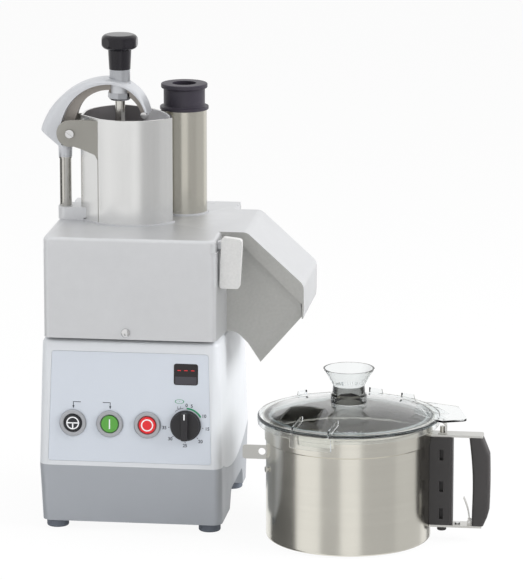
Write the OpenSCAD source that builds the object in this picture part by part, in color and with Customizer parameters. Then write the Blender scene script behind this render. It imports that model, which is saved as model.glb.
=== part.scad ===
// Table-top food processor with a vegetable slicing head and a separate cutter bowl.
// X points right, Y points back, Z points up. The set stands on Z = 0.

/* [Motor base] */
// Height of the rubber feet
foot_h = 12.3; // [8:0.1:20]
// Radius of a foot
foot_r = 15.5; // [10:0.5:20]
// Half of the base width at the seam
base_half_w = 129; // [122:1:136]
// Front of the base at the seam, from the motor axis
base_front = 150.9; // [145:0.1:165]
// Back of the base at the seam, from the motor axis
base_back = 148; // [140:1:160]
// Height of the seam between the lower base and the upper housing
seam_z = 96.5; // [90:0.5:110]
// Height of the flat top of the upper housing
housing_top_z = 276; // [270:1:286]
// How much each side of the upper housing narrows towards its top
side_draft = 4.65; // [2:0.05:8]
// How much the front and the back lean in from the seam to the top
front_draft = 11.9; // [6:0.1:15]
// Radius of the rounded top edges of the upper housing
housing_edge_r = 9; // [6:0.5:14]
// Wall of both base castings
base_wall = 4; // [3:0.5:6]
// Height of the hand grip under each side
grip_h = 27; // [18:1:34]

/* [Control panel] */
// Half width of the panel sheet at its top
panel_half_w = 110; // [104:1:114]
// Bottom of the panel sheet above the seam
panel_low = 6.5; // [4:0.5:12]
// Top of the panel sheet above the seam
panel_high = 162; // [150:1:165]
// Height of the push buttons above the seam
button_up = 60.6; // [50:0.1:70]
// Radius of a button cap
button_r = 12; // [9:0.5:14]
// Radius of a button bezel
bezel_r = 19; // [16:0.5:22]
// Travel of a button
button_travel = 3; // [2:0.5:4]
// Radius of the speed knob
dial_r = 21.5; // [17:0.5:23]

/* [Slicing head] */
// Gap that shows between the base and the head
head_gap = 2; // [1:0.1:4]
// Half width of the head
head_half_w = 120.7; // [114:0.1:124]
// Front of the head, from the motor axis
head_front = 146; // [140:0.5:150]
// Back of the head, from the motor axis
head_back = 118; // [112:0.5:124]
// Height of the parting plane between head and lid
parting_z = 402.6; // [396:0.2:412]
// Thickness of the lid
lid_t = 18.2; // [14:0.2:24]
// Radius of the disc chamber
chamber_r = 98.5; // [96.5:0.5:102]
// Wall of the head castings
head_wall = 4; // [3:0.5:5]
// Radius of the slicing disc
disc_r = 95; // [88:0.5:95.5]

/* [Discharge chute] */
// Reach of the chute past the side of the head
chute_reach = 112.1; // [100:0.1:124]
// Drop of the chute tip below the bottom of the head
chute_drop = 42.6; // [36:0.1:46]
// Front face of the chute, from the motor axis
chute_front = 77; // [72:0.5:84]
// Back face of the chute, from the motor axis
chute_back = 78; // [72:0.5:84]

/* [Feed tubes] */
// Outer radius of the large hopper
hopper_r = 70; // [66:0.5:72]
// Sideways place of the large hopper
hopper_x = -18; // [-20:0.5:-16]
// Depth place of the large hopper
hopper_y = 9; // [6:0.5:12]
// Height of the hopper rim
hopper_rim_z = 570; // [562:1:576]
// Outer radius of the small feed tube
tube_r = 32; // [29.5:0.5:34]
// Sideways place of the small feed tube
tube_x = 49; // [47:0.5:52]
// Depth place of the small feed tube
tube_y = 55; // [53:0.5:58]
// Wall of both feed tubes
tube_wall = 3.5; // [2.5:0.5:4.5]

/* [Pusher lever] */
// Sideways place of the lever pin
pin_x = -100; // [-103:0.5:-99.5]
// Height of the lever pin
pin_z = 546; // [542:0.5:548]
// Radius of the lever pin
pin_r = 5; // [4:0.5:6]
// Width of the arched arm
arm_w = 44; // [40:0.5:46]
// Depth place of the middle of the arm
arm_y = -7; // [-9:0.5:-5]
// Height of the top of the arch
arch_top_z = 622.5; // [618:0.5:628]
// Radius of the opening under the arch
arch_hole_r = 48; // [45:0.5:49]
// Sideways place of the pusher rod
rod_x = -33; // [-36:0.5:-30]
// Radius of the pusher rod
rod_r = 7; // [5:0.5:8]
// Radius of the pusher knob
knob_r = 25.8; // [22:0.1:30]
// Height of the top of the knob
knob_top_z = 684; // [678:1:696]
// How far the pusher plate rises on its rod
pusher_rise = 38; // [20:1:38]

/* [Cutter bowl] */
// Sideways distance of the cutter bowl from the motor axis
bowl_dx = 304; // [296:1:320]
// Distance of the cutter bowl in front of the motor axis
bowl_dy = 120; // [110:0.5:126]
// Outer radius of the cutter bowl
bowl_r = 115; // [110:0.5:118]
// Height of the bowl rim
bowl_h = 171.5; // [164:0.5:178]
// Wall of the bowl
bowl_wall = 1.6; // [1.2:0.1:2.5]
// How far the clear lid reaches past the wall of the bowl
lid_overhang = 12; // [10:0.5:15]
// Room for the fingers between the handle's bracket and its grip
finger_gap = 25; // [22:1:32]
// Radius of the centre tube of the bowl
centre_tube_r = 17; // [14:0.5:20]
// Height of the centre tube of the bowl
centre_tube_h = 66; // [50:1:80]

/* [Hidden] */
$fn = 96;
hull_fn = 32;
arc_steps = 6;
cut = 1;
film = 0.1;
fit = 0.05;
free_gap = 0.3;

// Small sizes of the base
base_corner_r = 14;
base_foot_draft = 1.65;
base_front_draft = 12.9;
foot_in_x = 21;
foot_in_y = 34;
foot_chamfer = 1.5;
grip_from = -49;
grip_to = 91;
grip_slope = 12;
seam_dip = 24;
seam_dip_from = -126;
seam_dip_to = 132;
seam_gap = 0.3;
dip_depth = 3;
register_r = 110;
panel_t = 1.2;
panel_sink = 1;
panel_corner_r = 4;
panel_flare = 5;
button_x = [-80, -28, 25];
button_proud = 3;
button_stem = 9;
button_flange = 2;
bezel_h = 3.5;
bezel_edge = 1.5;
dial_x = 79;
dial_up = 61.7;
dial_skirt_h = 4;
dial_h = 17;
dial_shaft_r = 4;
dial_hub_r = 8;
grip_bar_w = 9;
window_x = 78.8;
window_up = 133.5;
window_w = 34;
window_h = 30;
window_t = 5;
window_corner_r = 3.5;
window_proud = 0.5;
gland_up = 62;
gland_x = -70;
gland_r = 9;
gland_flange_r = 14;
gland_flange_t = 4;
gland_reach = 9;
gland_bore_r = 4;
cover_half_x = 70;
cover_half_y = 48;
cover_t = 2;
cover_y = 21;
screw_r = 3;
screw_head_h = 2;
screw_in = 9;
controller_w = 130;
controller_y = 100;
controller_d = 26;
controller_h = 96;
fin_t = 3;
fin_pitch = 9;

// Small sizes of the motor and the drive
flange_t = 11;
flange_r = 84;
flange_hub_r = 34;
flange_hub_h = 18;
casing_r = 76;
casing_t = 6;
casing_low = 84;
casing_floor_t = 8;
stator_t = 27;
stator_low = 132;
stator_high = 214;
winding_h = 16;
winding_in = 4;
bearing_r = 23.5;
bearing_h = 14;
shaft_r = 10;
shaft_low = 66;
spindle_r = 8;
seal_r = 17;
seal_h = 8;
air_gap = 1;
fan_r = 56;
fan_h = 11;
fan_hub_r = 18;
fan_blades = 9;
fan_blade_t = 2.4;
plate_low = 2;
plate_t = 3;
paddle_h = 26;
paddle_t = 5;
ejector_hub_r = 22;
ejector_hub_h = 44;
disc_t = 2.4;
disc_below = 9;
disc_hub_r = 26;
disc_hub_h = 40;
blade_slot_w = 7;
nut_r = 12;
nut_h = 6.5;

// Small sizes of the head
head_corner_r = 9;
bowl_floor_t = 10;
floor_hub_r = 24;
floor_hub_h = 5;
stud_r = 6.5;
stud_x = -5;
stud_up = 9.5;
stud_out = 5;
flare_w = 6.5;
lid_edge_r = 5;
lid_corner_r = 10;
lid_round_shares = [[0, -1], [0, 0], [0.08, 0.38], [0.29, 0.71], [0.62, 0.92], [1, 1]];
bead_h = 2.2;
bead_w = 2.6;
cover_out = 4;
cover_reach = 3.3;
cover_nose_drop = 22.4;
cover_lip_gap = 0.5;
outline_gap = 0.3;
hinge_back = 11;
hinge_r = 9;
hinge_pin_r = 4;
hinge_lug_x = 84;
hinge_lug_w = 35;
hinge_knuckle_w = 32;
latch_x = 124.1;
latch_w = 28.5;
latch_low_z = 351;
latch_h = 73;
latch_t = 11;
latch_corner_r = 5;
latch_gap = 43;
latch_pivot_up = 9;
latch_lean = 3.3;
latch_slope = 3.5;
latch_catch_w = 10;
latch_catch_up = 53;
latch_catch_gap = 0.5;
gusset_h = 24;
gusset_y = 20;
latch_pin_r = 2.5;
bracket_t = 4;
tongue_w = 8;
tongue_r = 3.2;
cutter_r = 126;
cutter_x = -80.8;
cutter_y = -43.7;
facet_edge_deg = 235;
facet_deg = 134;
web_w = 14;
tube_top_drop = 1;

// Small sizes of the lever and its pushers
ear_t = 5;
ear_gap = 3.2;
ear_r = 19;
ear_right_x = -58;
ear_front_low = 16;
ear_top_drop = 3;
ear_foot_drop = 28;
ear_bend_x = -84;
ear_skew = 11;
pin_head_r = 7;
pin_head_h = 3;
bush_t = 3.4;
tail_slot = 21.6;
tail_slot_top = 15;
stop_slope_deg = 25;
stop_clear = 11.8;
hub_r = 11;
hub_proud = 0.5;
arch_front_r = 56.5;
arch_back_r = 100;
arch_x = -47;
arch_hole_z = 558;
tip_deg = 15;
tail_deg = 206;
tail_from_deg = 170;
tail_grow = 5;
arm_stations = 30;
flange_tip_share = 0.3;
flange_top_share = 0.42;
flange_tail_share = 0.65;
dome_share = 0.58;
dome_top_share = 0.64;
arm_web_w = 20;
tail_x = -146.5;
tail_reach = 96.5;
tail_cut_z = 551.5;
tail_cut_deg = 40;
boss_r = 15.6;
boss_low = 602;
boss_high = 617.5;
collar_r = 14.5;
collar_h = 17;
nut_low_r = 17;
nut_drop = 11;
nut_chamfer = 3;
tip_pin_r = 4.6;
tip_pin_x = 4;
tip_pin_z = 573;
tip_pin_out = 1.5;
plate_drop = 24;
pusher_plate_t = 10;
plate_clear = 2.6;
plate_left_x = -78;
plate_hub_r = 12;
plate_hub_h = 24;
knob_neck_r = 15.5;
knob_head_h = 21;
knob_round_r = 8;
knob_sides = 8;
rod_block_left = -121;
rod_block_half_w = 19;
rod_block_h = 18;
rod_block_corner_r = 12;
post_x = -111.6;
post_r = 8.4;
post_top_z = 506;
cap_r = 9.3;
cap_top_z = 525;
small_top_r = 33;
small_waist_r = 29.3;
small_flange_r = 34.6;
small_flange_t = 4.5;
small_waist_h = 26;
small_cap_t = 6.5;
small_recess_r = 17;
small_wall = 3;
small_low_gap = 2;

// Small sizes of the cutter bowl
bowl_corner_r = 4;
bowl_lift = 1.5;
foot_ring_in = 23;
foot_ring_r = bowl_r - foot_ring_in;
foot_ring_w = 6;
band_h = 31;
band_out = 1.8;
rim_bead_r = 1.6;
tab_out = 34;
tab_reach = bowl_r + tab_out;
tab_low = 106.5;
tab_h = 20;
tab_t = 2;
tab_hole_r = 5;
tab_stud_r = 4;
tab_stud_deg = 20;
bracket_out = 31;
bracket_x = bowl_r + bracket_out;
bracket_depth = 30;
bracket_low = 24;
bracket_top_drop = 22;
bracket_high = bowl_h - bracket_top_drop;
bracket_slot_w = 5;
bracket_slot_h = 15;
slot_up_shares = [0.13, 0.44, 0.80];
strap_t = 3;
strap_w = 24;
grip_in_x = bracket_x + finger_gap;
grip_depth = 27;
handle_reach = grip_in_x + grip_depth;
strap_high_short = 10;
strap_low_short = 11;
strap_high_x = handle_reach - strap_high_short;
strap_low_x = handle_reach - strap_low_short;
strap_low_z = 20;
grip_w = 26;
grip_waist = 5;
grip_bulge = 2;
grip_top_cut = 11;
grip_top_h = 27;
grip_low_cut = 8.5;
grip_low_h = 20;
grip_low_in = 4.6;
grip_round = 5;
screw_low_out = 7;
screw_low_x = bracket_x + screw_low_out;
rod_out = 4;
bowl_lid_r = bowl_r + lid_overhang;
rod_top_x = bowl_lid_r + rod_out;
rod_top_r = 3.5;
plunger_r = 6.5;
plunger_low = 13.2;
interlock_travel = 4.5;
top_bracket_w = 12;
top_bracket_t = 1.6;
top_bracket_h = 22;
spring_w = 10;
spring_t = 1.2;
spring_gap = 1.5;
spring_lean = 8;
spring_x = grip_in_x - spring_gap;
spring_top_x = spring_x - spring_lean;
spring_z = 27;
spring_h = 34;
spring_pin_r = 1.3;
spring_eye_r = 2.6;
spring_ear_t = 1.6;
lid_rim_drop = 7.5;
lid_rim_h = 12.5;
lid_rim_low = bowl_h - lid_rim_drop;
lid_rim_high = lid_rim_low + lid_rim_h;
lid_wall = 3;
lid_dome_h = 17;
lid_ring_in = 4.2;
lid_ring_r = bowl_r - lid_ring_in;
funnel_boss_r = 25;
funnel_neck_r = 19.5;
funnel_neck_up = 40.5;
funnel_neck_z = lid_rim_high + funnel_neck_up;
funnel_top_r = 35.5;
funnel_cone_h = 24;
funnel_top_z = funnel_neck_z + funnel_cone_h;
funnel_wall = 2.4;
lug_w = 62;
lug_drop = 11;
lug_t = 3.4;
front_lug_deg = 251;
lug_degs = [front_lug_deg, 118, 62];
rib_l = 34;
rib_h = 14;
rib_t = 2.6;
lid_ear_shares = [[0.655, 0.655], [1.17, 0.44], [1.31, -0.117], [1.05, -0.222], [0.92, -0.15]];
lid_ear_rib_w = 46;
lid_ear_t = 3;
seal_ring_t = 3;
seal_ring_h = 4;
blade_hub_wall = 5;
hub_low = 9;
hub_top = 136;
hub_base_r = 30;
hub_base_h = 14;
hub_top_r = 14;
cutter_blade_t = 2;
cutter_blade_reach = 107;
cutter_blade_w = 26;
cutter_low_z = 13;
cutter_high_z = 62;
cutter_high_reach = 100;
blade_steps = 12;
cap_ring_h = 8;

// Places that follow
head_z = housing_top_z + head_gap;
lid_top_z = parting_z + lid_t;
lean = atan(front_draft / (housing_top_z - housing_edge_r - seam_z));
hinge_y = head_back + hinge_back;
hinge_z = parting_z + hinge_r + outline_gap;
set_left = arch_x - tail_reach;
set_right = bowl_dx + handle_reach;
lug_reach = bowl_lid_r + lug_t / 2;
set_front = bowl_dy - lug_reach * sin(front_lug_deg + asin(lug_w / 2 / lug_reach));
set_back = base_back + gland_reach;
machine_x = -(set_left + set_right) / 2;
machine_y = (set_front - set_back) / 2;
chute_h = parting_z - head_z + chute_drop;
arm_front_y = arm_y - arm_w / 2;
arm_back_y = arm_y + arm_w / 2;
plate_top_z = pin_z - plate_drop;
chamber_floor_z = head_z + bowl_floor_t;
disc_z = parting_z - disc_below;

module at_machine() {
    translate([machine_x, machine_y, 0]) children();
}

module at_bowl() {
    translate([machine_x + bowl_dx, machine_y - bowl_dy, 0]) children();
}

// Lies in the leaning front face: local x right, local y up the face, local z outwards
module on_front() {
    at_machine() translate([0, -base_front, seam_z]) rotate([90 - lean, 0, 0]) children();
}

// Stands a flat outline up in the XZ plane and gives it a depth from y0 to y1
module upright(y0, y1) {
    translate([0, y1, 0]) rotate([90, 0, 0]) linear_extrude(y1 - y0) children();
}

// Points of an arc about c
function arc(c, r, a0, a1, n = arc_steps) =
    [for (i = [0:n]) [c[0] + r * cos(a0 + (a1 - a0) * i / n), c[1] + r * sin(a0 + (a1 - a0) * i / n)]];

function unit(v) = v / norm(v);
function turn_of(u, v) = atan2(u[0] * v[1] - u[1] * v[0], u[0] * v[0] + u[1] * v[1]);

// Rounds one corner q between its neighbours p and s
function corner_arc(p, q, s, r) =
    r == 0 ? [q] :
    let (
        u = unit(p - q),
        v = unit(s - q),
        half = acos(u * v) / 2,
        c = q + unit(u + v) * r / sin(half),
        from = q + u * r / tan(half) - c,
        to = q + v * r / tan(half) - c,
        a0 = atan2(from[1], from[0]),
        sweep = turn_of(from, to)
    )
    arc(c, r, a0, a0 + sweep);

// Rounds every corner of an outline, each with its own radius
function rounded(pts, radii) =
    [for (i = [0:len(pts) - 1])
        each corner_arc(pts[(i + len(pts) - 1) % len(pts)], pts[i], pts[(i + 1) % len(pts)],
            is_list(radii) ? radii[i] : radii)];

function box_points(x0, y0, x1, y1) = [[x0, y0], [x1, y0], [x1, y1], [x0, y1]];

module rounded_box(x0, y0, x1, y1, r) {
    polygon(rounded(box_points(x0, y0, x1, y1), r));
}

// Skins a list of rings, each with the same number of points, into a closed solid
module loft(rings) {
    n = len(rings[0]);
    m = len(rings);
    polyhedron(
        points = [for (ring = rings) each ring],
        faces = concat(
            [[for (i = [0:n - 1]) i]],
            [for (k = [0:m - 2]) for (i = [0:n - 1]) each [
                [k * n + i, (k + 1) * n + (i + 1) % n, k * n + (i + 1) % n],
                [k * n + i, (k + 1) * n + i, (k + 1) * n + (i + 1) % n]
            ]],
            [[for (i = [n - 1:-1:0]) (m - 1) * n + i]]
        ),
        convexity = 6
    );
}

// Outline of the base at the seam, drawn in by a wall
module seam_outline(inset) {
    rounded_box(-base_half_w + inset, -base_front + inset, base_half_w - inset, base_back - inset,
        base_corner_r - inset);
}

module lower_form(inset, low) {
    hull() {
        translate([0, 0, seam_z - film]) linear_extrude(film) seam_outline(inset);
        translate([0, 0, low]) linear_extrude(film)
            rounded_box(-base_half_w + base_foot_draft + inset, -base_front + base_front_draft + inset,
                base_half_w - base_foot_draft - inset, base_back - base_front_draft - inset,
                base_corner_r - inset);
    }
}

// Hand grip that runs across under the base
module grip_space(grow) {
    rotate([90, 0, 90])
        translate([0, 0, -base_half_w - cut]) linear_extrude(2 * (base_half_w + cut))
            polygon(rounded([
                [grip_from - grow, foot_h - cut],
                [grip_to + grow, foot_h - cut],
                [grip_to - grip_slope + grow, foot_h + grip_h + grow],
                [grip_from + grip_slope - grow, foot_h + grip_h + grow]
            ], [0, 0, grip_slope, grip_slope]));
}

// Shallow arc by which the upper housing reaches down over the side of the lower base
module side_dip(grow) {
    half = (seam_dip_to - seam_dip_from) / 2;
    r = (half * half + seam_dip * seam_dip) / (2 * seam_dip);
    intersection() {
        translate([0, (seam_dip_from + seam_dip_to) / 2, seam_z - seam_dip + r]) rotate([0, 90, 0])
            cylinder(r = r + grow, h = 2 * base_half_w + 2 * cut, center = true, $fn = 180);
        for (side = [-1, 1])
            translate([side * base_half_w - dip_depth - grow, -base_front, seam_z - seam_dip - cut])
                cube([2 * (dip_depth + grow), base_front + base_back, seam_dip + cut + (grow > 0 ? cut : 0)]);
    }
}

module lower_base() {
    color([0.63, 0.65, 0.68]) at_machine() difference() {
        lower_form(0, foot_h);
        difference() {
            lower_form(base_wall, foot_h + base_wall);
            grip_space(base_wall);
            cover_screw_places() cylinder(r = screw_r + base_wall, h = base_wall + 2 * screw_head_h);
        }
        translate([0, 0, seam_z - base_wall]) linear_extrude(base_wall + cut) seam_outline(base_wall);
        grip_space(0);
        side_dip(seam_gap);
        translate([gland_x, base_back - base_front_draft - base_wall - cut, gland_up]) rotate([-90, 0, 0])
            cylinder(r = gland_r, h = base_front_draft + base_wall + 2 * cut);
        translate([gland_x, gland_face_y(), gland_up]) rotate([-90, 0, 0])
            cylinder(r = gland_flange_r + free_gap, h = base_front_draft);
        cover_screw_places() translate([0, 0, -cut])
            cylinder(r = screw_r, h = base_wall + 2 * screw_head_h);
    }
}

// Rear face of the lower base at the height of the gland's lower edge
function gland_face_y() = base_back - base_front_draft
    + base_front_draft * (gland_up - gland_flange_r - foot_h) / (seam_z - foot_h);

module cover_screw_places() {
    for (x = [-1, 1], y = [-1, 1])
        translate([x * (cover_half_x - screw_in), cover_y + y * (cover_half_y - screw_in), foot_h + grip_h])
            children();
}

module feet() {
    color([0.45, 0.48, 0.53]) at_machine()
        for (x = [-1, 1], y = [-base_front + foot_in_y, base_back - foot_in_y])
            translate([x * (base_half_w - foot_in_x), y, 0])
                rotate_extrude() polygon([
                    [0, 0], [foot_r - foot_chamfer, 0], [foot_r, foot_chamfer],
                    [foot_r, foot_h], [0, foot_h]
                ]);
}

module bottom_cover() {
    color([0.55, 0.56, 0.58]) at_machine() difference() {
        translate([0, cover_y, foot_h + grip_h - cover_t]) linear_extrude(cover_t) difference() {
            rounded_box(-cover_half_x, -cover_half_y, cover_half_x, cover_half_y, screw_in);
            for (i = [-3:3]) translate([i * fin_pitch, 0]) rounded_box(
                -fin_t / 2, -cover_half_y / 2, fin_t / 2, cover_half_y / 2, fin_t / 2 - film);
        }
        translate([0, 0, -cover_t - cut]) cover_screw_places() cylinder(r = screw_r, h = cover_t + 2 * cut);
    }
}

module cover_screws() {
    color([0.75, 0.75, 0.76]) at_machine() cover_screw_places() translate([0, 0, -cover_t]) {
        cylinder(r = screw_r, h = cover_t + base_wall);
        translate([0, 0, -screw_head_h]) cylinder(r = 2 * screw_r, h = screw_head_h);
    }
}

module cable_gland() {
    color([0.12, 0.12, 0.13]) at_machine() translate([gland_x, gland_face_y(), gland_up]) rotate([-90, 0, 0])
        difference() {
            union() {
                translate([0, 0, -base_wall]) cylinder(r = gland_r, h = base_wall + gland_flange_t);
                cylinder(r = gland_flange_r, h = gland_flange_t);
                cylinder(r1 = gland_r, r2 = gland_bore_r + screw_r,
                    h = base_back + gland_reach - gland_face_y());
            }
            translate([0, 0, -base_wall - cut]) cylinder(r = gland_bore_r,
                h = base_back + gland_reach - gland_face_y() + base_wall + 2 * cut);
        }
}

// Upper housing as a leaning block with rounded top edges, drawn in by a wall
module upper_form(inset) {
    top_x = base_half_w - side_draft - housing_edge_r;
    hull() {
        translate([0, 0, seam_z]) linear_extrude(film) seam_outline(inset);
        for (x = [-top_x, top_x],
                y = [-base_front + front_draft + housing_edge_r, base_back - front_draft - housing_edge_r])
            translate([x, y, housing_top_z - housing_edge_r])
                sphere(r = housing_edge_r - inset, $fn = hull_fn);
    }
}

module upper_housing() {
    color([0.80, 0.82, 0.84]) difference() {
        at_machine() union() {
            difference() {
                upper_form(0);
                upper_form(base_wall);
                translate([0, 0, seam_z - cut]) linear_extrude(2 * cut) seam_outline(base_wall);
            }
            intersection() {
                side_dip(0);
                lower_form(0, foot_h);
            }
            translate([0, 0, housing_top_z - base_wall]) cylinder(r = register_r, h = base_wall + head_gap);
        }
        at_machine() translate([0, 0, housing_top_z - base_wall - cut])
            cylinder(r = seal_r + base_wall, h = base_wall + head_gap + 2 * cut);
        on_front() {
            translate([0, 0, -panel_sink]) linear_extrude(panel_sink + cut) panel_outline(free_gap);
            for (x = button_x) translate([x, button_up, -base_wall - 2 * cut])
                cylinder(r = button_r + button_flange, h = base_wall + 3 * cut);
            translate([dial_x, dial_up, -base_wall - 2 * cut])
                cylinder(r = dial_hub_r, h = base_wall + 3 * cut);
            translate([window_x, window_up, -base_wall - 2 * cut]) linear_extrude(base_wall + 3 * cut)
                window_outline(0);
        }
    }
}

module panel_outline(grow) {
    polygon(rounded([
        [-panel_half_w - panel_flare - grow, panel_low - grow],
        [panel_half_w + panel_flare + grow, panel_low - grow],
        [panel_half_w + grow, panel_high + grow],
        [-panel_half_w - grow, panel_high + grow]
    ], panel_corner_r));
}

module window_outline(grow) {
    translate([-window_w / 2, -window_h / 2])
        rounded_box(-grow, -grow, window_w + grow, window_h + grow, window_corner_r);
}

module control_panel() {
    color([0.80, 0.83, 0.87]) on_front() translate([0, 0, -panel_sink]) difference() {
        linear_extrude(panel_t) panel_outline(0);
        for (x = button_x) translate([x, button_up, -cut])
            cylinder(r = button_r + button_flange, h = panel_t + 2 * cut);
        translate([dial_x, dial_up, -cut]) cylinder(r = dial_hub_r, h = panel_t + 2 * cut);
        translate([window_x, window_up, -cut]) linear_extrude(panel_t + 2 * cut) window_outline(0);
    }
}

module display_window() {
    color([0.10, 0.05, 0.06]) on_front() translate([window_x, window_up, -window_t])
        linear_extrude(window_t + window_proud) window_outline(0);
}

// Threaded collars of the buttons and of the speed knob
module button_bezels() {
    low = -base_wall - 4 * cut;
    color([0.66, 0.67, 0.69]) on_front() {
        for (x = button_x) translate([x, button_up, panel_t - panel_sink]) rotate_extrude() polygon([
            [button_r - button_flange + fit, low],
            [button_r + button_flange, low],
            [button_r + button_flange, 0],
            [bezel_r, 0],
            [bezel_r, bezel_h - bezel_edge],
            [bezel_r - bezel_edge, bezel_h],
            [button_r + button_flange, bezel_h],
            [button_r + 2 * free_gap, bezel_h - bezel_edge],
            [button_r + 2 * free_gap, -button_travel - cut],
            [button_r - button_flange + fit, -button_travel - cut]
        ]);
        translate([dial_x, dial_up, low]) difference() {
            cylinder(r = dial_hub_r, h = panel_t - panel_sink - low);
            translate([0, 0, -cut]) cylinder(r = dial_shaft_r + fit, h = 2 * button_stem);
        }
    }
}

module push_button(x, tone) {
    color(tone) on_front() translate([x, button_up, -button_stem]) rotate_extrude() polygon([
        [0, 0],
        [button_r - button_flange, 0],
        [button_r - button_flange, button_stem],
        [button_r, button_stem],
        [button_r, button_stem + button_proud - film * 5],
        [button_r - film * 5, button_stem + button_proud],
        [0, button_stem + button_proud]
    ]);
}

module pulse_button() { push_button(button_x[0], [0.10, 0.10, 0.12]); }

module start_button() { push_button(button_x[1], [0.33, 0.62, 0.25]); }

module stop_button() { push_button(button_x[2], [0.86, 0.10, 0.13]); }

module speed_knob() {
    color([0.13, 0.11, 0.14]) on_front() translate([dial_x, dial_up, panel_t - panel_sink + free_gap]) {
        cylinder(r = dial_r, h = dial_skirt_h);
        translate([0, 0, dial_skirt_h]) cylinder(r1 = dial_r - cut, r2 = dial_r - 2 * cut, h = dial_skirt_h);
        intersection() {
            cylinder(r = dial_r - 2 * cut, h = dial_h);
            translate([-grip_bar_w / 2, -dial_r, 0]) cube([grip_bar_w, 2 * dial_r, dial_h]);
        }
        translate([0, 0, -base_wall - 2 * cut]) cylinder(r = dial_shaft_r, h = base_wall + 3 * cut);
    }
}

// Electronic speed control on a finned heat sink that stands on the base floor
module speed_controller() {
    floor_z = foot_h + base_wall;
    color([0.30, 0.42, 0.34]) at_machine() translate([-controller_w / 2, controller_y, floor_z]) {
        cube([controller_w, fin_t, controller_h]);
        for (x = [0:fin_pitch:controller_w - fin_t]) translate([x, 0, 0])
            cube([fin_t, controller_d, controller_h * 0.6]);
        for (i = [1:3]) translate([controller_w * i / 4, 0, controller_h * 0.8]) rotate([90, 0, 0])
            cylinder(r = fin_pitch, h = fin_pitch);
    }
}

// Motor casing: a tube with a floor that carries the lower bearing
module motor_casing() {
    top = housing_top_z - base_wall - flange_t;
    color([0.55, 0.57, 0.60]) at_machine() difference() {
        union() {
            translate([0, 0, casing_low]) cylinder(r = casing_r, h = top - casing_low);
            for (a = [0:30:330]) rotate(a) translate([casing_r - film, -fin_t / 2, casing_low + casing_floor_t])
                cube([fin_t, fin_t, top - casing_low - 2 * casing_floor_t]);
        }
        translate([0, 0, casing_low + casing_floor_t])
            cylinder(r = casing_r - casing_t, h = top - casing_low);
        translate([0, 0, casing_low - cut]) cylinder(r = shaft_r + base_wall, h = casing_floor_t + 2 * cut);
        for (a = [45:90:315]) rotate(a) translate([casing_r * 0.55, 0, casing_low - cut])
            cylinder(r = fin_pitch, h = casing_floor_t + 2 * cut);
    }
    color([0.55, 0.57, 0.60]) at_machine() translate([0, 0, casing_low + casing_floor_t]) difference() {
        cylinder(r = bearing_r + base_wall, h = bearing_h);
        translate([0, 0, -cut]) cylinder(r = bearing_r, h = bearing_h + 2 * cut);
    }
}

module motor_flange() {
    top = housing_top_z - base_wall;
    color([0.60, 0.62, 0.65]) at_machine() difference() {
        union() {
            translate([0, 0, top - flange_t]) cylinder(r = flange_r, h = flange_t - film);
            translate([0, 0, top - flange_t - flange_hub_h]) cylinder(r = flange_hub_r, h = flange_hub_h + cut);
        }
        translate([0, 0, top - flange_t - flange_hub_h - cut]) cylinder(r = bearing_r, h = bearing_h + cut);
        translate([0, 0, head_z - flange_t - 2 * flange_hub_h]) cylinder(r = shaft_r + base_wall, h = top);
        for (a = [45:90:315]) rotate(a) translate([(casing_r + flange_r) / 2 + screw_r, 0, top - flange_t - cut])
            cylinder(r = screw_r, h = flange_t + 2 * cut);
    }
}

module motor_stator() {
    r = casing_r - casing_t;
    color([0.35, 0.36, 0.38]) at_machine() translate([0, 0, stator_low]) difference() {
        cylinder(r = r, h = stator_high - stator_low);
        translate([0, 0, -cut]) cylinder(r = r - stator_t, h = stator_high - stator_low + 2 * cut);
        for (a = [0:15:345]) rotate(a) translate([r - stator_t, 0, -cut])
            cylinder(r = fin_t, h = stator_high - stator_low + 2 * cut, $fn = 16);
    }
}

module motor_windings() {
    r = casing_r - casing_t;
    color([0.72, 0.42, 0.20]) at_machine() for (z = [stator_low - winding_h, stator_high])
        translate([0, 0, z]) rotate_extrude()
            rounded_box(r - stator_t + winding_in, 0, r - winding_in, winding_h, winding_in);
}

module motor_bearings() {
    top = housing_top_z - base_wall;
    color([0.80, 0.81, 0.83]) at_machine()
        for (z = [casing_low + casing_floor_t, top - flange_t - flange_hub_h])
            translate([0, 0, z]) difference() {
                cylinder(r = bearing_r, h = bearing_h);
                translate([0, 0, -cut]) cylinder(r = shaft_r + fit, h = bearing_h + 2 * cut);
                translate([0, 0, bearing_h - cut]) difference() {
                    cylinder(r = bearing_r * 0.8, h = 2 * cut);
                    cylinder(r = bearing_r * 0.62, h = 2 * cut);
                }
            }
}

module shaft_seal() {
    color([0.15, 0.14, 0.14]) at_machine() translate([0, 0, chamber_floor_z + floor_hub_h - seal_h]) difference() {
        cylinder(r = seal_r, h = seal_h);
        translate([0, 0, -cut]) cylinder(r = shaft_r + fit, h = seal_h + 2 * cut);
    }
}

module motor_rotor() {
    color([0.45, 0.45, 0.47]) at_machine() translate([0, 0, stator_low]) difference() {
        union() {
            cylinder(r = casing_r - casing_t - stator_t - air_gap, h = stator_high - stator_low);
            for (z = [-air_gap * 4, stator_high - stator_low]) translate([0, 0, z])
                cylinder(r = casing_r - casing_t - stator_t - 3 * air_gap, h = air_gap * 4);
        }
        translate([0, 0, -5 * air_gap]) cylinder(r = shaft_r, h = stator_high);
    }
}

module drive_shaft() {
    shoulder_z = chamber_floor_z + floor_hub_h + plate_low + ejector_hub_h;
    color([0.72, 0.73, 0.75]) at_machine() {
        translate([0, 0, shaft_low]) cylinder(r = shaft_r, h = shoulder_z - shaft_low);
        cylinder_between(spindle_r, shoulder_z, disc_z + disc_t + nut_h - cut);
    }
}

module cylinder_between(r, z0, z1) {
    translate([0, 0, z0]) cylinder(r = r, h = z1 - z0);
}

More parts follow.
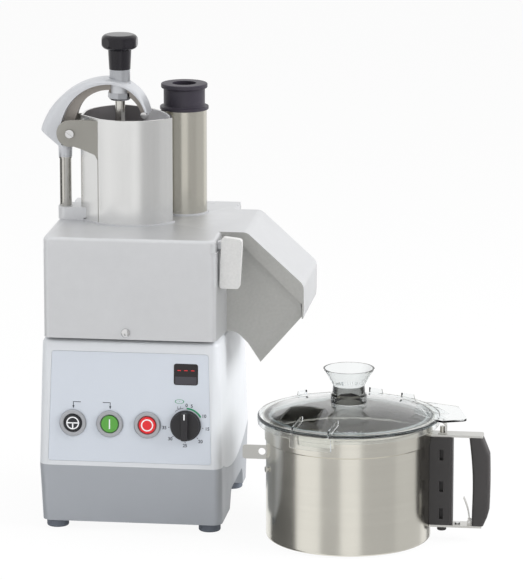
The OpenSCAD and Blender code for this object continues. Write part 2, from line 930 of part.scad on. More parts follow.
module cooling_fan() {
    color([0.20, 0.20, 0.22]) at_machine() translate([0, 0, shaft_low + cut]) difference() {
        union() {
            cylinder(r = fan_hub_r, h = fan_h);
            cylinder(r = fan_r, h = fan_blade_t);
            for (i = [0:fan_blades - 1]) rotate(360 * i / fan_blades) rotate([0, 0, 20])
                translate([fan_hub_r - fan_blade_t, -fan_blade_t / 2, 0])
                    cube([fan_r - fan_hub_r - fan_blade_t, fan_blade_t, fan_h]);
        }
        translate([0, 0, -cut]) cylinder(r = shaft_r, h = fan_h + 2 * cut);
    }
}

// Ejector that sweeps the cut food out through the chute
module discharge_plate() {
    low_z = chamber_floor_z + floor_hub_h + plate_low;
    color([0.86, 0.86, 0.84]) at_machine() translate([0, 0, low_z]) difference() {
        union() {
            cylinder(r = disc_r - cut, h = plate_t);
            cylinder(r = ejector_hub_r, h = ejector_hub_h);
            for (a = [0:120:240]) rotate(a) translate([ejector_hub_r - paddle_t, -paddle_t / 2, 0])
                cube([disc_r - ejector_hub_r + paddle_t / 2, paddle_t, paddle_h]);
        }
        translate([0, 0, -cut]) cylinder(r = shaft_r, h = ejector_hub_h + 2 * cut);
    }
}

// Slicing disc with two raised blades over their slots and a long hub
module slicing_disc() {
    hub_low_z = chamber_floor_z + floor_hub_h + plate_low + ejector_hub_h;
    color([0.78, 0.79, 0.81]) at_machine() difference() {
        union() {
            translate([0, 0, disc_z]) cylinder(r = disc_r, h = disc_t);
            translate([0, 0, disc_z - disc_t]) difference() {
                cylinder(r = disc_r, h = disc_t + cut);
                translate([0, 0, -cut]) cylinder(r = disc_r - 2 * disc_t, h = disc_t + 2 * cut);
            }
            translate([0, 0, hub_low_z]) cylinder(r = disc_hub_r, h = disc_z - hub_low_z + cut);
            for (a = [0, 180]) rotate(a) disc_blade();
        }
        translate([0, 0, hub_low_z - cut]) cylinder(r = spindle_r, h = disc_z);
        for (a = [0, 180]) rotate(a) translate([disc_hub_r + base_wall, 0, disc_z - 3 * disc_t])
            linear_extrude(3 * disc_t) rounded_box(0, 0, disc_r - disc_hub_r - 3 * base_wall,
                blade_slot_w, blade_slot_w / 2 - film);
    }
}

// One cutting edge, a wedge that stands just over the disc behind its slot
module disc_blade() {
    translate([disc_hub_r + base_wall, -2 * blade_slot_w, disc_z + disc_t - film]) rotate([90, 0, 90])
        linear_extrude(disc_r - disc_hub_r - 3 * base_wall) polygon([
            [0, 0], [2 * blade_slot_w, 0], [2 * blade_slot_w + disc_t, disc_t], [2 * blade_slot_w, disc_t]
        ]);
}

module disc_nut() {
    color([0.16, 0.16, 0.17]) at_machine() translate([0, 0, disc_z + disc_t]) difference() {
        cylinder(r = nut_r, h = nut_h - film);
        translate([0, 0, -cut]) cylinder(r = spindle_r, h = nut_h);
    }
}

// Outline of the head seen from above; its right side flares out towards the chute
module head_outline(grow) {
    polygon(rounded([
        [-head_half_w - grow, -head_front - grow],
        [head_half_w + grow, -head_front - grow],
        [head_half_w + flare_w + grow, -chute_front],
        [head_half_w + flare_w + grow, chute_back],
        [head_half_w + grow, head_back + grow],
        [-head_half_w - grow, head_back + grow]
    ], [head_corner_r, head_corner_r, 0, 0, head_corner_r, head_corner_r]));
}

// Places along the chute as shares of its reach and height, from the lower corner beside the head
chute_low_shares = [[0, 0.255], [0.18, 0.259], [0.324, 0.162], [0.484, 0]];
chute_end_shares = [[1, 0.397], [0.988, 0.52]];
chute_top_share = 0.256;

function chute_point(share) =
    [head_half_w + share[0] * chute_reach, head_z - chute_drop + share[1] * chute_h];

// Lower wall of the chute as a smooth curve, moved up by a wall
function chute_low(w) = [
    [0, head_z + w],
    [chute_point(chute_low_shares[1])[0] + w / 2, head_z + w],
    chute_point(chute_low_shares[2]) + [w * 0.7, w * 0.7],
    chute_point(chute_low_shares[3]) + [w, 0]
];

module chute_outline() {
    low = chute_low(0);
    polygon(concat(
        [low[0]], corner_arc(low[0], low[1], low[2], head_wall * 4), [low[2], low[3]],
        [chute_point(chute_end_shares[0]), chute_point(chute_end_shares[1])],
        [[head_half_w + chute_top_share * chute_reach, parting_z], [0, parting_z]]
    ));
}

// Free passage inside the chute, open at the outlet and along the parting line
module chute_passage(top) {
    low = chute_low(head_wall);
    end = chute_point(chute_end_shares[1]) - [head_wall, 0];
    out = chute_point(chute_end_shares[0]) - [head_wall, head_wall * 1.1];
    polygon(concat(
        [[0, chamber_floor_z], [low[1][0] - chute_drop / 4, chamber_floor_z]],
        [low[2] + [0, 0], low[3]],
        [low[3] + [chute_drop, -chute_drop], out + [chute_drop, -chute_drop], out, end],
        top
    ));
}

module vegetable_bowl() {
    open_top = [
        chute_point(chute_end_shares[1]) + [-head_wall, 4 * head_wall],
        [head_half_w + chute_top_share * chute_reach, parting_z + 4 * head_wall],
        [0, parting_z + 4 * head_wall]
    ];
    color([0.70, 0.71, 0.71]) at_machine() {
        difference() {
            union() {
                translate([0, 0, head_z]) linear_extrude(parting_z - head_z) head_outline(0);
                upright(-chute_front, chute_back) chute_outline();
            }
            difference() {
                translate([0, 0, chamber_floor_z]) cylinder(r = chamber_r, h = parting_z);
                cylinder(r = floor_hub_r, h = chamber_floor_z + floor_hub_h);
            }
            difference() {
                upright(-chute_front + head_wall, chute_back - head_wall) chute_passage(open_top);
                cylinder(r = floor_hub_r, h = chamber_floor_z + floor_hub_h);
            }
            difference() {
                translate([0, 0, head_z - cut]) linear_extrude(parting_z - head_z - bowl_floor_t)
                    head_outline(-head_wall);
                cylinder(r = chamber_r + head_wall, h = parting_z);
                translate([0, -chute_front, 0]) cube([chute_reach * 2, chute_front + chute_back, parting_z]);
            }
            translate([0, 0, head_z - cut]) cylinder(r = shaft_r + base_wall, h = parting_z);
            translate([0, 0, chamber_floor_z + floor_hub_h - seal_h]) cylinder(r = seal_r, h = seal_h + cut);
            translate([stud_x, -head_front - cut, head_z + stud_up]) rotate([-90, 0, 0])
                cylinder(r = stud_r / 2, h = head_wall + cut);
        }
        for (side = [-1, 1]) hinge_knuckle(side);
    }
}

// Knuckle on the back of the head that carries the hinge pin
module hinge_knuckle(side) {
    x0 = side > 0 ? hinge_lug_x - hinge_knuckle_w - outline_gap : -hinge_lug_x + outline_gap;
    difference() {
        union() {
            translate([x0, hinge_y, hinge_z]) rotate([0, 90, 0]) cylinder(r = hinge_r, h = hinge_knuckle_w);
            translate([x0, 0, 0]) rotate([90, 0, 90]) linear_extrude(hinge_knuckle_w) polygon([
                [head_back, hinge_z - 5 * hinge_r],
                [head_back, parting_z - outline_gap],
                [hinge_y, parting_z - outline_gap],
                [hinge_y + hinge_r, hinge_z],
                [hinge_y + hinge_r, hinge_z - hinge_r]
            ]);
        }
        translate([x0 - cut, hinge_y, hinge_z]) rotate([0, 90, 0])
            cylinder(r = hinge_pin_r, h = hinge_knuckle_w + 2 * cut);
    }
}

module hinge_pin() {
    reach = hinge_lug_x + hinge_lug_w;
    color([0.75, 0.76, 0.78]) at_machine() translate([-reach, hinge_y, hinge_z]) rotate([0, 90, 0])
        cylinder(r = hinge_pin_r, h = 2 * reach);
}

module front_stud() {
    color([0.85, 0.85, 0.86]) at_machine() translate([stud_x, -head_front, head_z + stud_up])
        rotate([90, 0, 0]) rotate_extrude() polygon(concat(
            [[0, -head_wall + cut], [stud_r / 2, -head_wall + cut], [stud_r / 2, 0], [stud_r, 0]],
            [for (a = [0:15:75]) [stud_r * cos(a), cut + (stud_out - cut) * sin(a)]],
            [[0, stud_out]]
        ));
}

// Tongue with a gusset on the chute that carries the pin of the latch
module latch_bracket() {
    pivot_z = latch_low_z + latch_pivot_up;
    mid = latch_x + latch_w / 2;
    pin_y = -chute_front - latch_gap - latch_t / 2;
    color([0.68, 0.69, 0.69]) at_machine() {
        translate([mid - tongue_w / 2, pin_y, pivot_z]) rotate([0, 90, 0]) cylinder(r = tongue_r, h = tongue_w);
        translate([mid - tongue_w / 2, 0, pivot_z]) rotate([90, 0, 90]) linear_extrude(tongue_w) polygon([
            [pin_y, -tongue_r], [-chute_front - gusset_y, -tongue_r], [-chute_front, -gusset_h / 2],
            [-chute_front, gusset_h / 2], [-chute_front - gusset_y, tongue_r], [pin_y, tongue_r]
        ]);
        translate([latch_x + bracket_t, pin_y, pivot_z]) rotate([0, 90, 0])
            cylinder(r = latch_pin_r, h = latch_w - 2 * bracket_t);
    }
}

module latch_lever() {
    pivot_z = latch_low_z + latch_pivot_up;
    mid = latch_x + latch_w / 2;
    back_y = -chute_front - latch_gap;
    color([0.80, 0.80, 0.79]) at_machine() difference() {
        upright(back_y - latch_t, back_y) polygon(rounded([
            [latch_x, latch_low_z],
            [latch_x + latch_w, latch_low_z],
            [latch_x + latch_w + latch_lean, latch_low_z + latch_h * 0.78],
            [latch_x + latch_w + latch_lean, latch_low_z + latch_h - latch_slope],
            [latch_x + latch_lean, latch_low_z + latch_h]
        ], [latch_corner_r, latch_corner_r, 0, latch_corner_r, latch_corner_r]));
        translate([latch_x + bracket_t - cut, back_y - latch_t / 2, pivot_z]) rotate([0, 90, 0])
            cylinder(r = latch_pin_r + fit, h = latch_w - 2 * bracket_t + 2 * cut);
        translate([mid - tongue_w / 2 - cut, back_y - latch_t + bracket_t / 2, latch_low_z - cut])
            cube([tongue_w + 2 * cut, latch_t, latch_pivot_up * 2 + latch_t]);
    }
}

// Lid plate with rounded top edges
module lid_plate() {
    e = lid_edge_r;
    loft([for (q = lid_round_shares) [for (p = rounded(box_points(-head_half_w + q[0] * e,
            -head_front + q[0] * e, head_half_w - q[0] * e, head_back - q[0] * e),
        lid_corner_r - q[0] * e * 0.6)) [p[0], p[1], lid_top_z - e + (q[1] < 0 ? e - lid_t : q[1] * e)]]]);
}

// Sloping cover of the chute, in the XZ plane
module cover_outline() {
    nose_x = head_half_w + chute_reach + cover_reach;
    end = chute_point(chute_end_shares[1]);
    start = [head_half_w + chute_top_share * chute_reach, parting_z];
    bend_x = head_half_w + chute_top_share * chute_reach * 1.24;
    in_x = chute_point(chute_end_shares[0])[0] + cover_lip_gap;
    lip = start + (end - start) * (in_x - start[0]) / (end[0] - start[0]) + [0, 2 * outline_gap];
    polygon(concat(
        [[0, parting_z], start, lip, [in_x, end[1] - cover_nose_drop]],
        [[nose_x - cut, end[1] - cover_nose_drop]],
        [[nose_x, end[1] - cover_nose_drop / 2]],
        corner_arc([nose_x, end[1] - cover_nose_drop / 2], [nose_x, end[1] + cover_nose_drop * 1.15],
            [bend_x, lid_top_z], 3 * lid_edge_r),
        corner_arc([nose_x, end[1] + cover_nose_drop * 1.15], [bend_x, lid_top_z], [0, lid_top_z],
            3 * lid_edge_r),
        [[0, lid_top_z]]
    ));
}

module feed_head_cover() {
    low = chute_low(head_wall);
    end = chute_point(chute_end_shares[1]);
    inner = [
        [0, parting_z - cut],
        [end[0] - head_wall, parting_z - cut - chute_h],
        [end[0] - head_wall, end[1] + cover_nose_drop * 0.9],
        [head_half_w + chute_top_share * chute_reach * 1.1, lid_top_z - head_wall],
        [0, lid_top_z - head_wall]
    ];
    color([0.83, 0.84, 0.85]) at_machine() difference() {
        union() {
            lid_plate();
            difference() {
                upright(-chute_front - cover_out, chute_back) cover_outline();
                upright(-chute_front + head_wall, chute_back - head_wall) polygon(inner);
                translate([-2 * head_half_w, -head_front, parting_z - cut])
                    cube([2 * head_half_w + chamber_r, head_front + head_back, lid_t + 2 * cut]);
            }
            translate([0, 0, lid_top_z - cut]) linear_extrude(bead_h + cut) {
                hopper_outline(-bead_w);
                translate([tube_x, tube_y]) circle(r = tube_r + bead_w);
            }
            for (side = [-1, 1]) hinge_lug(side);
            latch_catch();
        }
        translate([0, 0, parting_z - cut]) linear_extrude(lid_t - head_wall + cut) intersection() {
            rounded_box(chamber_r * 0.9, -chute_front + head_wall, head_half_w + head_corner_r,
                chute_back - head_wall, head_wall);
            square(4 * head_half_w, center = true);
        }
        translate([0, 0, parting_z - cut]) linear_extrude(lid_t + bead_h + 2 * cut) {
            hopper_outline(tube_wall);
            translate([tube_x, tube_y]) circle(r = tube_r - tube_wall);
        }
        translate([0, 0, lid_top_z]) linear_extrude(bead_h + cut) {
            tube_web();
            hopper_outline(0);
            translate([tube_x, tube_y]) circle(r = tube_r);
        }
        translate([post_x, arm_y, parting_z - cut]) cylinder(r = post_r + fit, h = lid_t + 2 * cut);
    }
}

// Lug on the side of the lid that the latch presses on
module latch_catch() {
    mid = latch_x + latch_w / 2;
    front = -chute_front - latch_gap + latch_catch_gap;
    translate([0, 0, latch_low_z + latch_catch_up]) linear_extrude(latch_catch_w) polygon(rounded([
        [head_half_w - lid_t, front], [mid + latch_catch_w / 2, front],
        [mid + latch_catch_w / 2, front + latch_catch_w], [head_half_w - lid_t, front + 2 * latch_catch_w]
    ], [0, latch_catch_w / 4, latch_catch_w / 4, 0]));
}

// Lug on the lid that turns on the hinge pin
module hinge_lug(side) {
    x0 = side > 0 ? hinge_lug_x : -hinge_lug_x - hinge_lug_w;
    difference() {
        union() {
            translate([x0, hinge_y, hinge_z]) rotate([0, 90, 0]) cylinder(r = hinge_r, h = hinge_lug_w);
            translate([x0, head_back - lid_corner_r, parting_z + outline_gap])
                cube([hinge_lug_w, lid_corner_r + hinge_back, lid_t - outline_gap]);
        }
        translate([x0 - cut, hinge_y, hinge_z]) rotate([0, 90, 0])
            cylinder(r = hinge_pin_r + fit, h = hinge_lug_w + 2 * cut);
    }
}

// Outline of the hopper seen from above: a round body, a flat facet for the lever, a hollow towards the tube
module hopper_outline(inset) {
    edge = [hopper_x + hopper_r * cos(facet_edge_deg), hopper_y + hopper_r * sin(facet_edge_deg)];
    low_y = hopper_y + (hopper_r - inset) * sin(facet_edge_deg);
    intersection() {
        union() {
            translate([hopper_x, hopper_y]) circle(r = hopper_r - inset, $fn = 180);
            translate([hopper_x - hopper_r + inset, low_y])
                square([hopper_r - inset, hopper_y - low_y]);
        }
        translate(edge) rotate(facet_deg) translate([-2 * hopper_r, -4 * hopper_r - inset])
            square([4 * hopper_r, 4 * hopper_r]);
        translate([cutter_x, cutter_y]) circle(r = cutter_r - inset, $fn = 180);
    }
}

module large_hopper() {
    color([0.80, 0.81, 0.82]) at_machine() translate([0, 0, lid_top_z])
        linear_extrude(hopper_rim_z - lid_top_z) difference() {
            hopper_outline(0);
            hopper_outline(tube_wall);
        }
}

// Web that joins the small tube to the hopper, seen from above
module tube_web() {
    a = atan2(tube_y - cutter_y, tube_x - cutter_x);
    d = norm([tube_x - cutter_x, tube_y - cutter_y]);
    translate([cutter_x, cutter_y]) rotate(a) translate([cutter_r - tube_wall, -web_w / 2])
        square([d - cutter_r - tube_r + 2 * tube_wall, web_w]);
}

module small_hopper_tube() {
    color([0.78, 0.78, 0.76]) at_machine() translate([0, 0, lid_top_z]) {
        linear_extrude(hopper_rim_z - lid_top_z - tube_top_drop) difference() {
            union() {
                translate([tube_x, tube_y]) circle(r = tube_r);
                tube_web();
            }
            translate([tube_x, tube_y]) circle(r = tube_r - tube_wall);
            hopper_outline(0);
        }
    }
}

// Side view of an ear, from its round end to the hopper
module ear_outline() {
    translate([pin_x, pin_z]) circle(r = ear_r);
    polygon([
        [pin_x, pin_z + ear_r],
        [ear_right_x, hopper_rim_z - ear_top_drop],
        [ear_right_x, pin_z - ear_foot_drop - ear_r / 2],
        [ear_right_x - ear_t, pin_z - ear_foot_drop],
        [pin_x + ear_t, pin_z - ear_r + film * 7]
    ]);
}

module lever_ears() {
    in_front = arm_front_y - ear_gap;
    in_back = arm_back_y + ear_gap;
    far = in_front - ear_t - ear_skew;
    color([0.64, 0.62, 0.59]) at_machine() difference() {
        union() {
            intersection() {
                upright(far - cut, in_front) ear_outline();
                translate([0, 0, lid_top_z]) linear_extrude(hopper_rim_z) polygon([
                    [pin_x - 2 * ear_r, in_front],
                    [pin_x - 2 * ear_r, in_front - ear_t],
                    [ear_bend_x, in_front - ear_t],
                    [hopper_x + hopper_r * cos(facet_edge_deg), hopper_y + hopper_r * sin(facet_edge_deg)],
                    [ear_right_x, in_front]
                ]);
            }
            intersection() {
                upright(in_back, in_back + ear_t) ear_outline();
                translate([pin_x - 2 * ear_r, in_back - cut, 0])
                    cube([hopper_x - pin_x, ear_t + 2 * cut, hopper_rim_z]);
            }
        }
        translate([0, 0, lid_top_z]) linear_extrude(hopper_rim_z) hopper_outline(0);
        translate([pin_x, far, pin_z]) rotate([-90, 0, 0]) cylinder(r = pin_r, h = 4 * arm_w);
    }
}

module lever_pin() {
    front = arm_front_y - ear_gap - ear_t;
    back = arm_back_y + ear_gap + ear_t;
    color([0.80, 0.80, 0.82]) at_machine() difference() {
        translate([pin_x, 0, pin_z]) rotate([90, 0, 0]) {
            translate([0, 0, -back - pin_head_h]) cylinder(r = pin_r, h = back - front + pin_head_h);
            translate([0, 0, -front]) cylinder(r1 = pin_head_r, r2 = pin_head_r - cut, h = pin_head_h);
        }
        translate([pin_x, front - pin_head_h, pin_z]) rotate([0, 35, 0])
            cube([3 * pin_head_r, pin_head_h, pin_head_r / 4], center = true);
    }
}

module rod_block() {
    half = rod_block_half_w;
    color([0.80, 0.80, 0.79]) at_machine() difference() {
        translate([0, 0, lid_top_z]) linear_extrude(rod_block_h) difference() {
            polygon(rounded(box_points(rod_block_left, arm_y - half, hopper_x, arm_y + half),
                [rod_block_corner_r, 0, 0, rod_block_corner_r]));
            hopper_outline(0);
        }
        translate([0, 0, lid_top_z - cut]) linear_extrude(bead_h + 2 * cut) hopper_outline(-bead_w);
        translate([post_x, arm_y, lid_top_z - cut]) cylinder(r = post_r + fit, h = rod_block_h + 2 * cut);
    }
}

// Sliding rod that tells the machine when the lever is down
module restart_rod() {
    low = parting_z + bead_h;
    color([0.78, 0.78, 0.80]) at_machine() translate([post_x, arm_y, 0]) {
        cylinder_between(post_r, low, post_top_z);
        cylinder_between(cap_r, post_top_z, cap_top_z - cut);
        translate([0, 0, cap_top_z - cut]) cylinder(r1 = cap_r, r2 = cap_r - cut, h = cut);
    }
}

// Distance from the middle of the arch opening to its outer face, in the direction a
function arch_out(a) =
    let (
        back = a > 90,
        cz = back ? arch_top_z - arch_back_r : arch_top_z - arch_front_r,
        r = back ? arch_back_r : arch_front_r,
        dz = cz - arch_hole_z,
        b = dz * sin(a)
    )
    b + sqrt(b * b - dz * dz + r * r);

function arch_in(a) =
    arch_hole_r + (a > tail_from_deg ? tail_grow * (a - tail_from_deg) / (tail_deg - tail_from_deg) : 0);

// Share of the flange in the depth of the arm
function flange_share(a) =
    a < 90 ? flange_tip_share + (flange_top_share - flange_tip_share) * (a - tip_deg) / (90 - tip_deg)
    : flange_top_share + (flange_tail_share - flange_top_share) * (a - 90) / (tail_deg - 90);

// One cross section of the arm: a domed flange over a narrower web
function arm_ring(a) =
    let (
        ro = arch_out(a),
        ri = arch_in(a),
        t = ro - ri,
        rf = ri + t * (1 - flange_share(a)),
        rd = ro - min(t * flange_share(a) * dome_share, arm_w * 0.28),
        rm = ro - (ro - rd) * 0.45,
        h = arm_w / 2,
        prof = [
            [ro, dome_top_share * h], [ro - (ro - rd) * 0.12, 0.80 * h], [rm, 0.93 * h], [rd, h], [rf, h],
            [rf - cut, arm_web_w / 2], [ri, arm_web_w / 2]
        ],
        both = concat(prof, [for (i = [len(prof) - 1:-1:0]) [prof[i][0], -prof[i][1]]])
    )
    [for (p = both) [arch_x + p[0] * cos(a), arm_y + p[1], arch_hole_z + p[0] * sin(a)]];

module lever_arm() {
    color([0.86, 0.87, 0.88]) at_machine() difference() {
        union() {
            difference() {
                loft([for (i = [0:arm_stations]) arm_ring(tip_deg + (tail_deg - tip_deg) * i / arm_stations)]);
                translate([tail_x, arm_y, tail_cut_z]) rotate([0, tail_cut_deg, 0])
                    translate([-arm_w, -arm_w, -2 * arm_w]) cube([4 * arm_w, 2 * arm_w, 2 * arm_w]);
            }
            upright(arm_y - tail_slot / 2 - ear_t, arm_y + tail_slot / 2 + ear_t)
                polygon(box_points(pin_x - 2.5 * hub_r, pin_z - hub_r, pin_x, pin_z + hub_r));
            translate([pin_x, arm_back_y + hub_proud, pin_z]) rotate([90, 0, 0])
                cylinder(r = hub_r, h = arm_w + 2 * hub_proud);
            translate([rod_x, arm_y, 0]) cylinder_between(boss_r, boss_low, boss_high);
        }
        translate([set_left - arm_w, -arm_w, arch_hole_z - arch_back_r]) cube([arm_w, 2 * arm_w, 2 * arch_back_r]);
        translate([pin_x, arm_y, pin_z]) rotate([0, -stop_slope_deg, 0])
            translate([-2 * arm_w, -arm_w, -stop_clear - 2 * arm_w + film])
                cube([4 * arm_w, 2 * arm_w, 2 * arm_w]);
        translate([tail_x - arm_w, arm_y - tail_slot / 2, pin_z - 2 * arm_w])
            cube([pin_x + hub_r - tail_x + arm_w + cut, tail_slot, 2 * arm_w + tail_slot_top]);
        translate([pin_x, arm_back_y + cut, pin_z]) rotate([90, 0, 0])
            cylinder(r = pin_r + bush_t, h = arm_w + 2 * cut);
        translate([rod_x, arm_y, 0]) {
            cylinder_between(rod_r + bush_t, boss_low - cut, boss_high + cut);
            cylinder_between(collar_r + free_gap, boss_high, arch_top_z + cut);
            cylinder_between(nut_low_r + cut, boss_low - nut_drop - cut, boss_low);
        }
        translate([tip_pin_x, arm_back_y + cut, tip_pin_z]) rotate([90, 0, 0])
            cylinder(r = tip_pin_r + film, h = arm_w + 2 * cut);
    }
}

module lever_bushing() {
    color([0.70, 0.62, 0.42]) at_machine() translate([pin_x, arm_back_y + ear_gap - free_gap, pin_z])
        rotate([90, 0, 0]) difference() {
            cylinder(r = pin_r + bush_t, h = arm_w + 2 * ear_gap - 2 * free_gap);
            translate([0, 0, -cut]) cylinder(r = pin_r + fit, h = arm_w + 2 * ear_gap + 2 * cut);
        }
}

// Guide bush of the pusher rod: a collar above the arch and a nut below it
module pusher_bushing() {
    color([0.74, 0.74, 0.72]) at_machine() translate([rod_x, arm_y, 0]) difference() {
        union() {
            cylinder_between(collar_r, boss_high, boss_high + collar_h);
            cylinder_between(rod_r + bush_t, boss_low - nut_drop + cut, boss_high + cut);
            translate([0, 0, boss_low - nut_drop + nut_chamfer])
                cylinder(r = nut_low_r, h = nut_drop - nut_chamfer, $fn = 8);
            translate([0, 0, boss_low - nut_drop])
                cylinder(r1 = nut_low_r - nut_chamfer - cut, r2 = nut_low_r - cut, h = nut_chamfer);
        }
        cylinder_between(rod_r + fit, boss_low - 2 * nut_drop, boss_high + 2 * collar_h);
    }
}

module tip_pin() {
    color([0.88, 0.88, 0.87]) at_machine() translate([tip_pin_x, arm_back_y + tip_pin_out, tip_pin_z])
        rotate([90, 0, 0]) cylinder(r = tip_pin_r, h = arm_w + 2 * tip_pin_out);
}

module pusher_rod() {
    color([0.80, 0.79, 0.76]) at_machine() translate([rod_x, arm_y, 0])
        cylinder_between(rod_r, plate_top_z, knob_top_z - knob_head_h);
}

module pusher_plate() {
    swing = pow(plate_drop + pusher_plate_t, 2) / (2 * (hopper_x + hopper_r - pin_x)) + cut;
    color([0.84, 0.84, 0.82]) at_machine() difference() {
        union() {
            translate([0, 0, plate_top_z - pusher_plate_t]) linear_extrude(pusher_plate_t) intersection() {
                hopper_outline(tube_wall + plate_clear);
                translate([-swing, 0]) hopper_outline(tube_wall + plate_clear);
                translate([plate_left_x, -2 * hopper_r]) square([4 * hopper_r, 4 * hopper_r]);
            }
            translate([rod_x, arm_y, 0]) cylinder_between(plate_hub_r, plate_top_z - cut, plate_top_z + plate_hub_h);
        }
        translate([rod_x, arm_y, 0]) cylinder_between(rod_r, plate_top_z, plate_top_z + 2 * plate_hub_h);
    }
}

// Black knob: a tapered neck under an eight-sided rounded head
module pusher_knob() {
    low = boss_high + collar_h + free_gap;
    head_low = knob_top_z - knob_head_h;
    color([0.14, 0.12, 0.15]) at_machine() translate([rod_x, arm_y, 0]) difference() {
        union() {
            translate([0, 0, low]) cylinder(r1 = knob_neck_r - cut / 2, r2 = knob_neck_r + cut, h = head_low - low);
            intersection() {
                rotate_extrude() polygon(concat(
                    [[0, head_low - cut], [knob_neck_r + cut, head_low - cut]],
                    arc([knob_r - knob_round_r, head_low + knob_round_r], knob_round_r, -60, 0),
                    arc([knob_r - knob_round_r, knob_top_z - knob_round_r], knob_round_r, 0, 80),
                    [[0, knob_top_z]]
                ));
                translate([0, 0, head_low - 2 * cut]) rotate(180 / knob_sides)
                    cylinder(r = knob_r * 1.03, h = knob_head_h + 3 * cut, $fn = knob_sides);
            }
        }
        cylinder_between(rod_r, low - cut, head_low);
    }
}

// Hollow pusher of the small tube, with a flange that rests on the tube
module small_pusher() {
    rest_z = hopper_rim_z - tube_top_drop;
    body_r = tube_r - tube_wall - free_gap;
    cap_z = rest_z + small_flange_t + small_waist_h;
    low_z = lid_top_z + small_low_gap;
    color([0.15, 0.13, 0.17]) at_machine() translate([tube_x, tube_y, 0]) difference() {
        rotate_extrude() polygon([
            [0, low_z],
            [body_r, low_z],
            [body_r, rest_z],
            [small_flange_r, rest_z],
            [small_flange_r, rest_z + small_flange_t],
            [small_waist_r + cut, rest_z + small_flange_t],
            [small_waist_r, rest_z + small_flange_t + cut],
            [small_waist_r, cap_z - cut],
            [small_top_r - cut, cap_z],
            [small_top_r, cap_z + cut],
            [small_top_r, cap_z + small_cap_t - cut],
            [small_top_r - cut, cap_z + small_cap_t],
            [0, cap_z + small_cap_t]
        ]);
        cylinder_between(small_recess_r, low_z + small_wall, cap_z + small_cap_t + cut);
    }
}

// Side of the cutter bowl in section: a foot ring, a rounded corner, a straight wall and a wider band
function bowl_side(w) =
    let (r = bowl_r - w, low = bowl_lift + w, c = bowl_corner_r - w)
    concat(
        arc([r - c, low + c], c, -90, 0, 2 * arc_steps),
        [
            [r, bowl_h - band_h],
            [r + band_out, bowl_h - band_h + band_out],
            [r + band_out, bowl_h]
        ]
    );

module cutter_bowl() {
    t = centre_tube_r;
    color([0.78, 0.78, 0.77]) at_bowl() {
        difference() {
            rotate_extrude($fn = 180) polygon(concat(
                [[t - 2 * bowl_wall, bowl_lift]],
                bowl_side(0),
                [for (i = [0:len(bowl_side(0)) - 1]) bowl_side(bowl_wall)[len(bowl_side(0)) - 1 - i]],
                [[t, bowl_lift + bowl_wall], [t, centre_tube_h], [t - 2 * bowl_wall, centre_tube_h]]
            ));
            rotate(tab_stud_deg) translate([-bowl_r - cut, 0, tab_low - tab_stud_r]) rotate([0, 90, 0])
                cylinder(r = tab_stud_r / 2, h = 4 * bowl_wall);
        }
        difference() {
            cylinder(r = foot_ring_r + foot_ring_w, h = bowl_lift + film);
            translate([0, 0, -cut]) cylinder(r = foot_ring_r, h = bowl_lift + 3 * cut);
        }
        translate([0, 0, bowl_h - rim_bead_r]) rotate_extrude($fn = 180)
            translate([bowl_r + band_out + rim_bead_r - film, 0]) circle(r = rim_bead_r, $fn = 24);
    }
}

// Steel tab and stud on the left of the bowl, by which it is turned into its lock
module bowl_tab() {
    color([0.82, 0.83, 0.83]) at_bowl() {
        difference() {
            union() {
                upright(-tab_t / 2, tab_t / 2) polygon(rounded(
                    box_points(-tab_reach, tab_low, -bowl_r * 0.9, tab_low + tab_h), [2 * tab_t, 0, 0, 2 * tab_t]));
            }
            translate([-bowl_r - 1.3 * tab_hole_r, tab_t, tab_low + tab_h * 0.55]) rotate([90, 0, 0])
                cylinder(r = tab_hole_r, h = 2 * tab_t);
            cylinder(r = bowl_r, h = bowl_h - band_h, $fn = 180);
        }
        rotate(tab_stud_deg) translate([-bowl_r - tab_stud_r, 0, tab_low - tab_stud_r]) rotate([0, 90, 0]) {
            cylinder(r = tab_stud_r / 2, h = tab_stud_r + bowl_wall / 2);
            cylinder(r = tab_stud_r, h = tab_stud_r * 0.6);
        }
    }
}

// Filled shape of the bowl, for fitting pieces to its side
module bowl_solid() {
    rotate_extrude($fn = 180) polygon(concat(
        [[0, bowl_lift]], bowl_side(0),
        [[bowl_r + band_out + 2 * rim_bead_r, bowl_h - 2 * rim_bead_r],
            [bowl_r + band_out + 2 * rim_bead_r, bowl_h], [0, bowl_h]]));
}

module handle_bracket() {
    half = bracket_depth / 2;
    color([0.25, 0.24, 0.25]) at_bowl() difference() {
        translate([0, 0, bracket_low]) linear_extrude(bracket_high - bracket_low)
            rounded_box(bowl_r * 0.9, -half, bracket_x, half, base_wall);
        bowl_solid();
        for (s = slot_up_shares)
            translate([rod_top_x - bracket_slot_w / 2, -half - cut,
                    bracket_low + s * (bracket_high - bracket_low) - bracket_slot_h / 2])
                cube([bracket_slot_w, half / 2, bracket_slot_h]);
        translate([rod_top_x, 0, bracket_low - cut])
            cylinder(r = rod_top_r + fit, h = bracket_high - bracket_low + 2 * cut);
        translate([rod_top_x, 0, bracket_low - cut])
            cylinder(r = plunger_r + free_gap, h = interlock_travel * 2);
    }
}

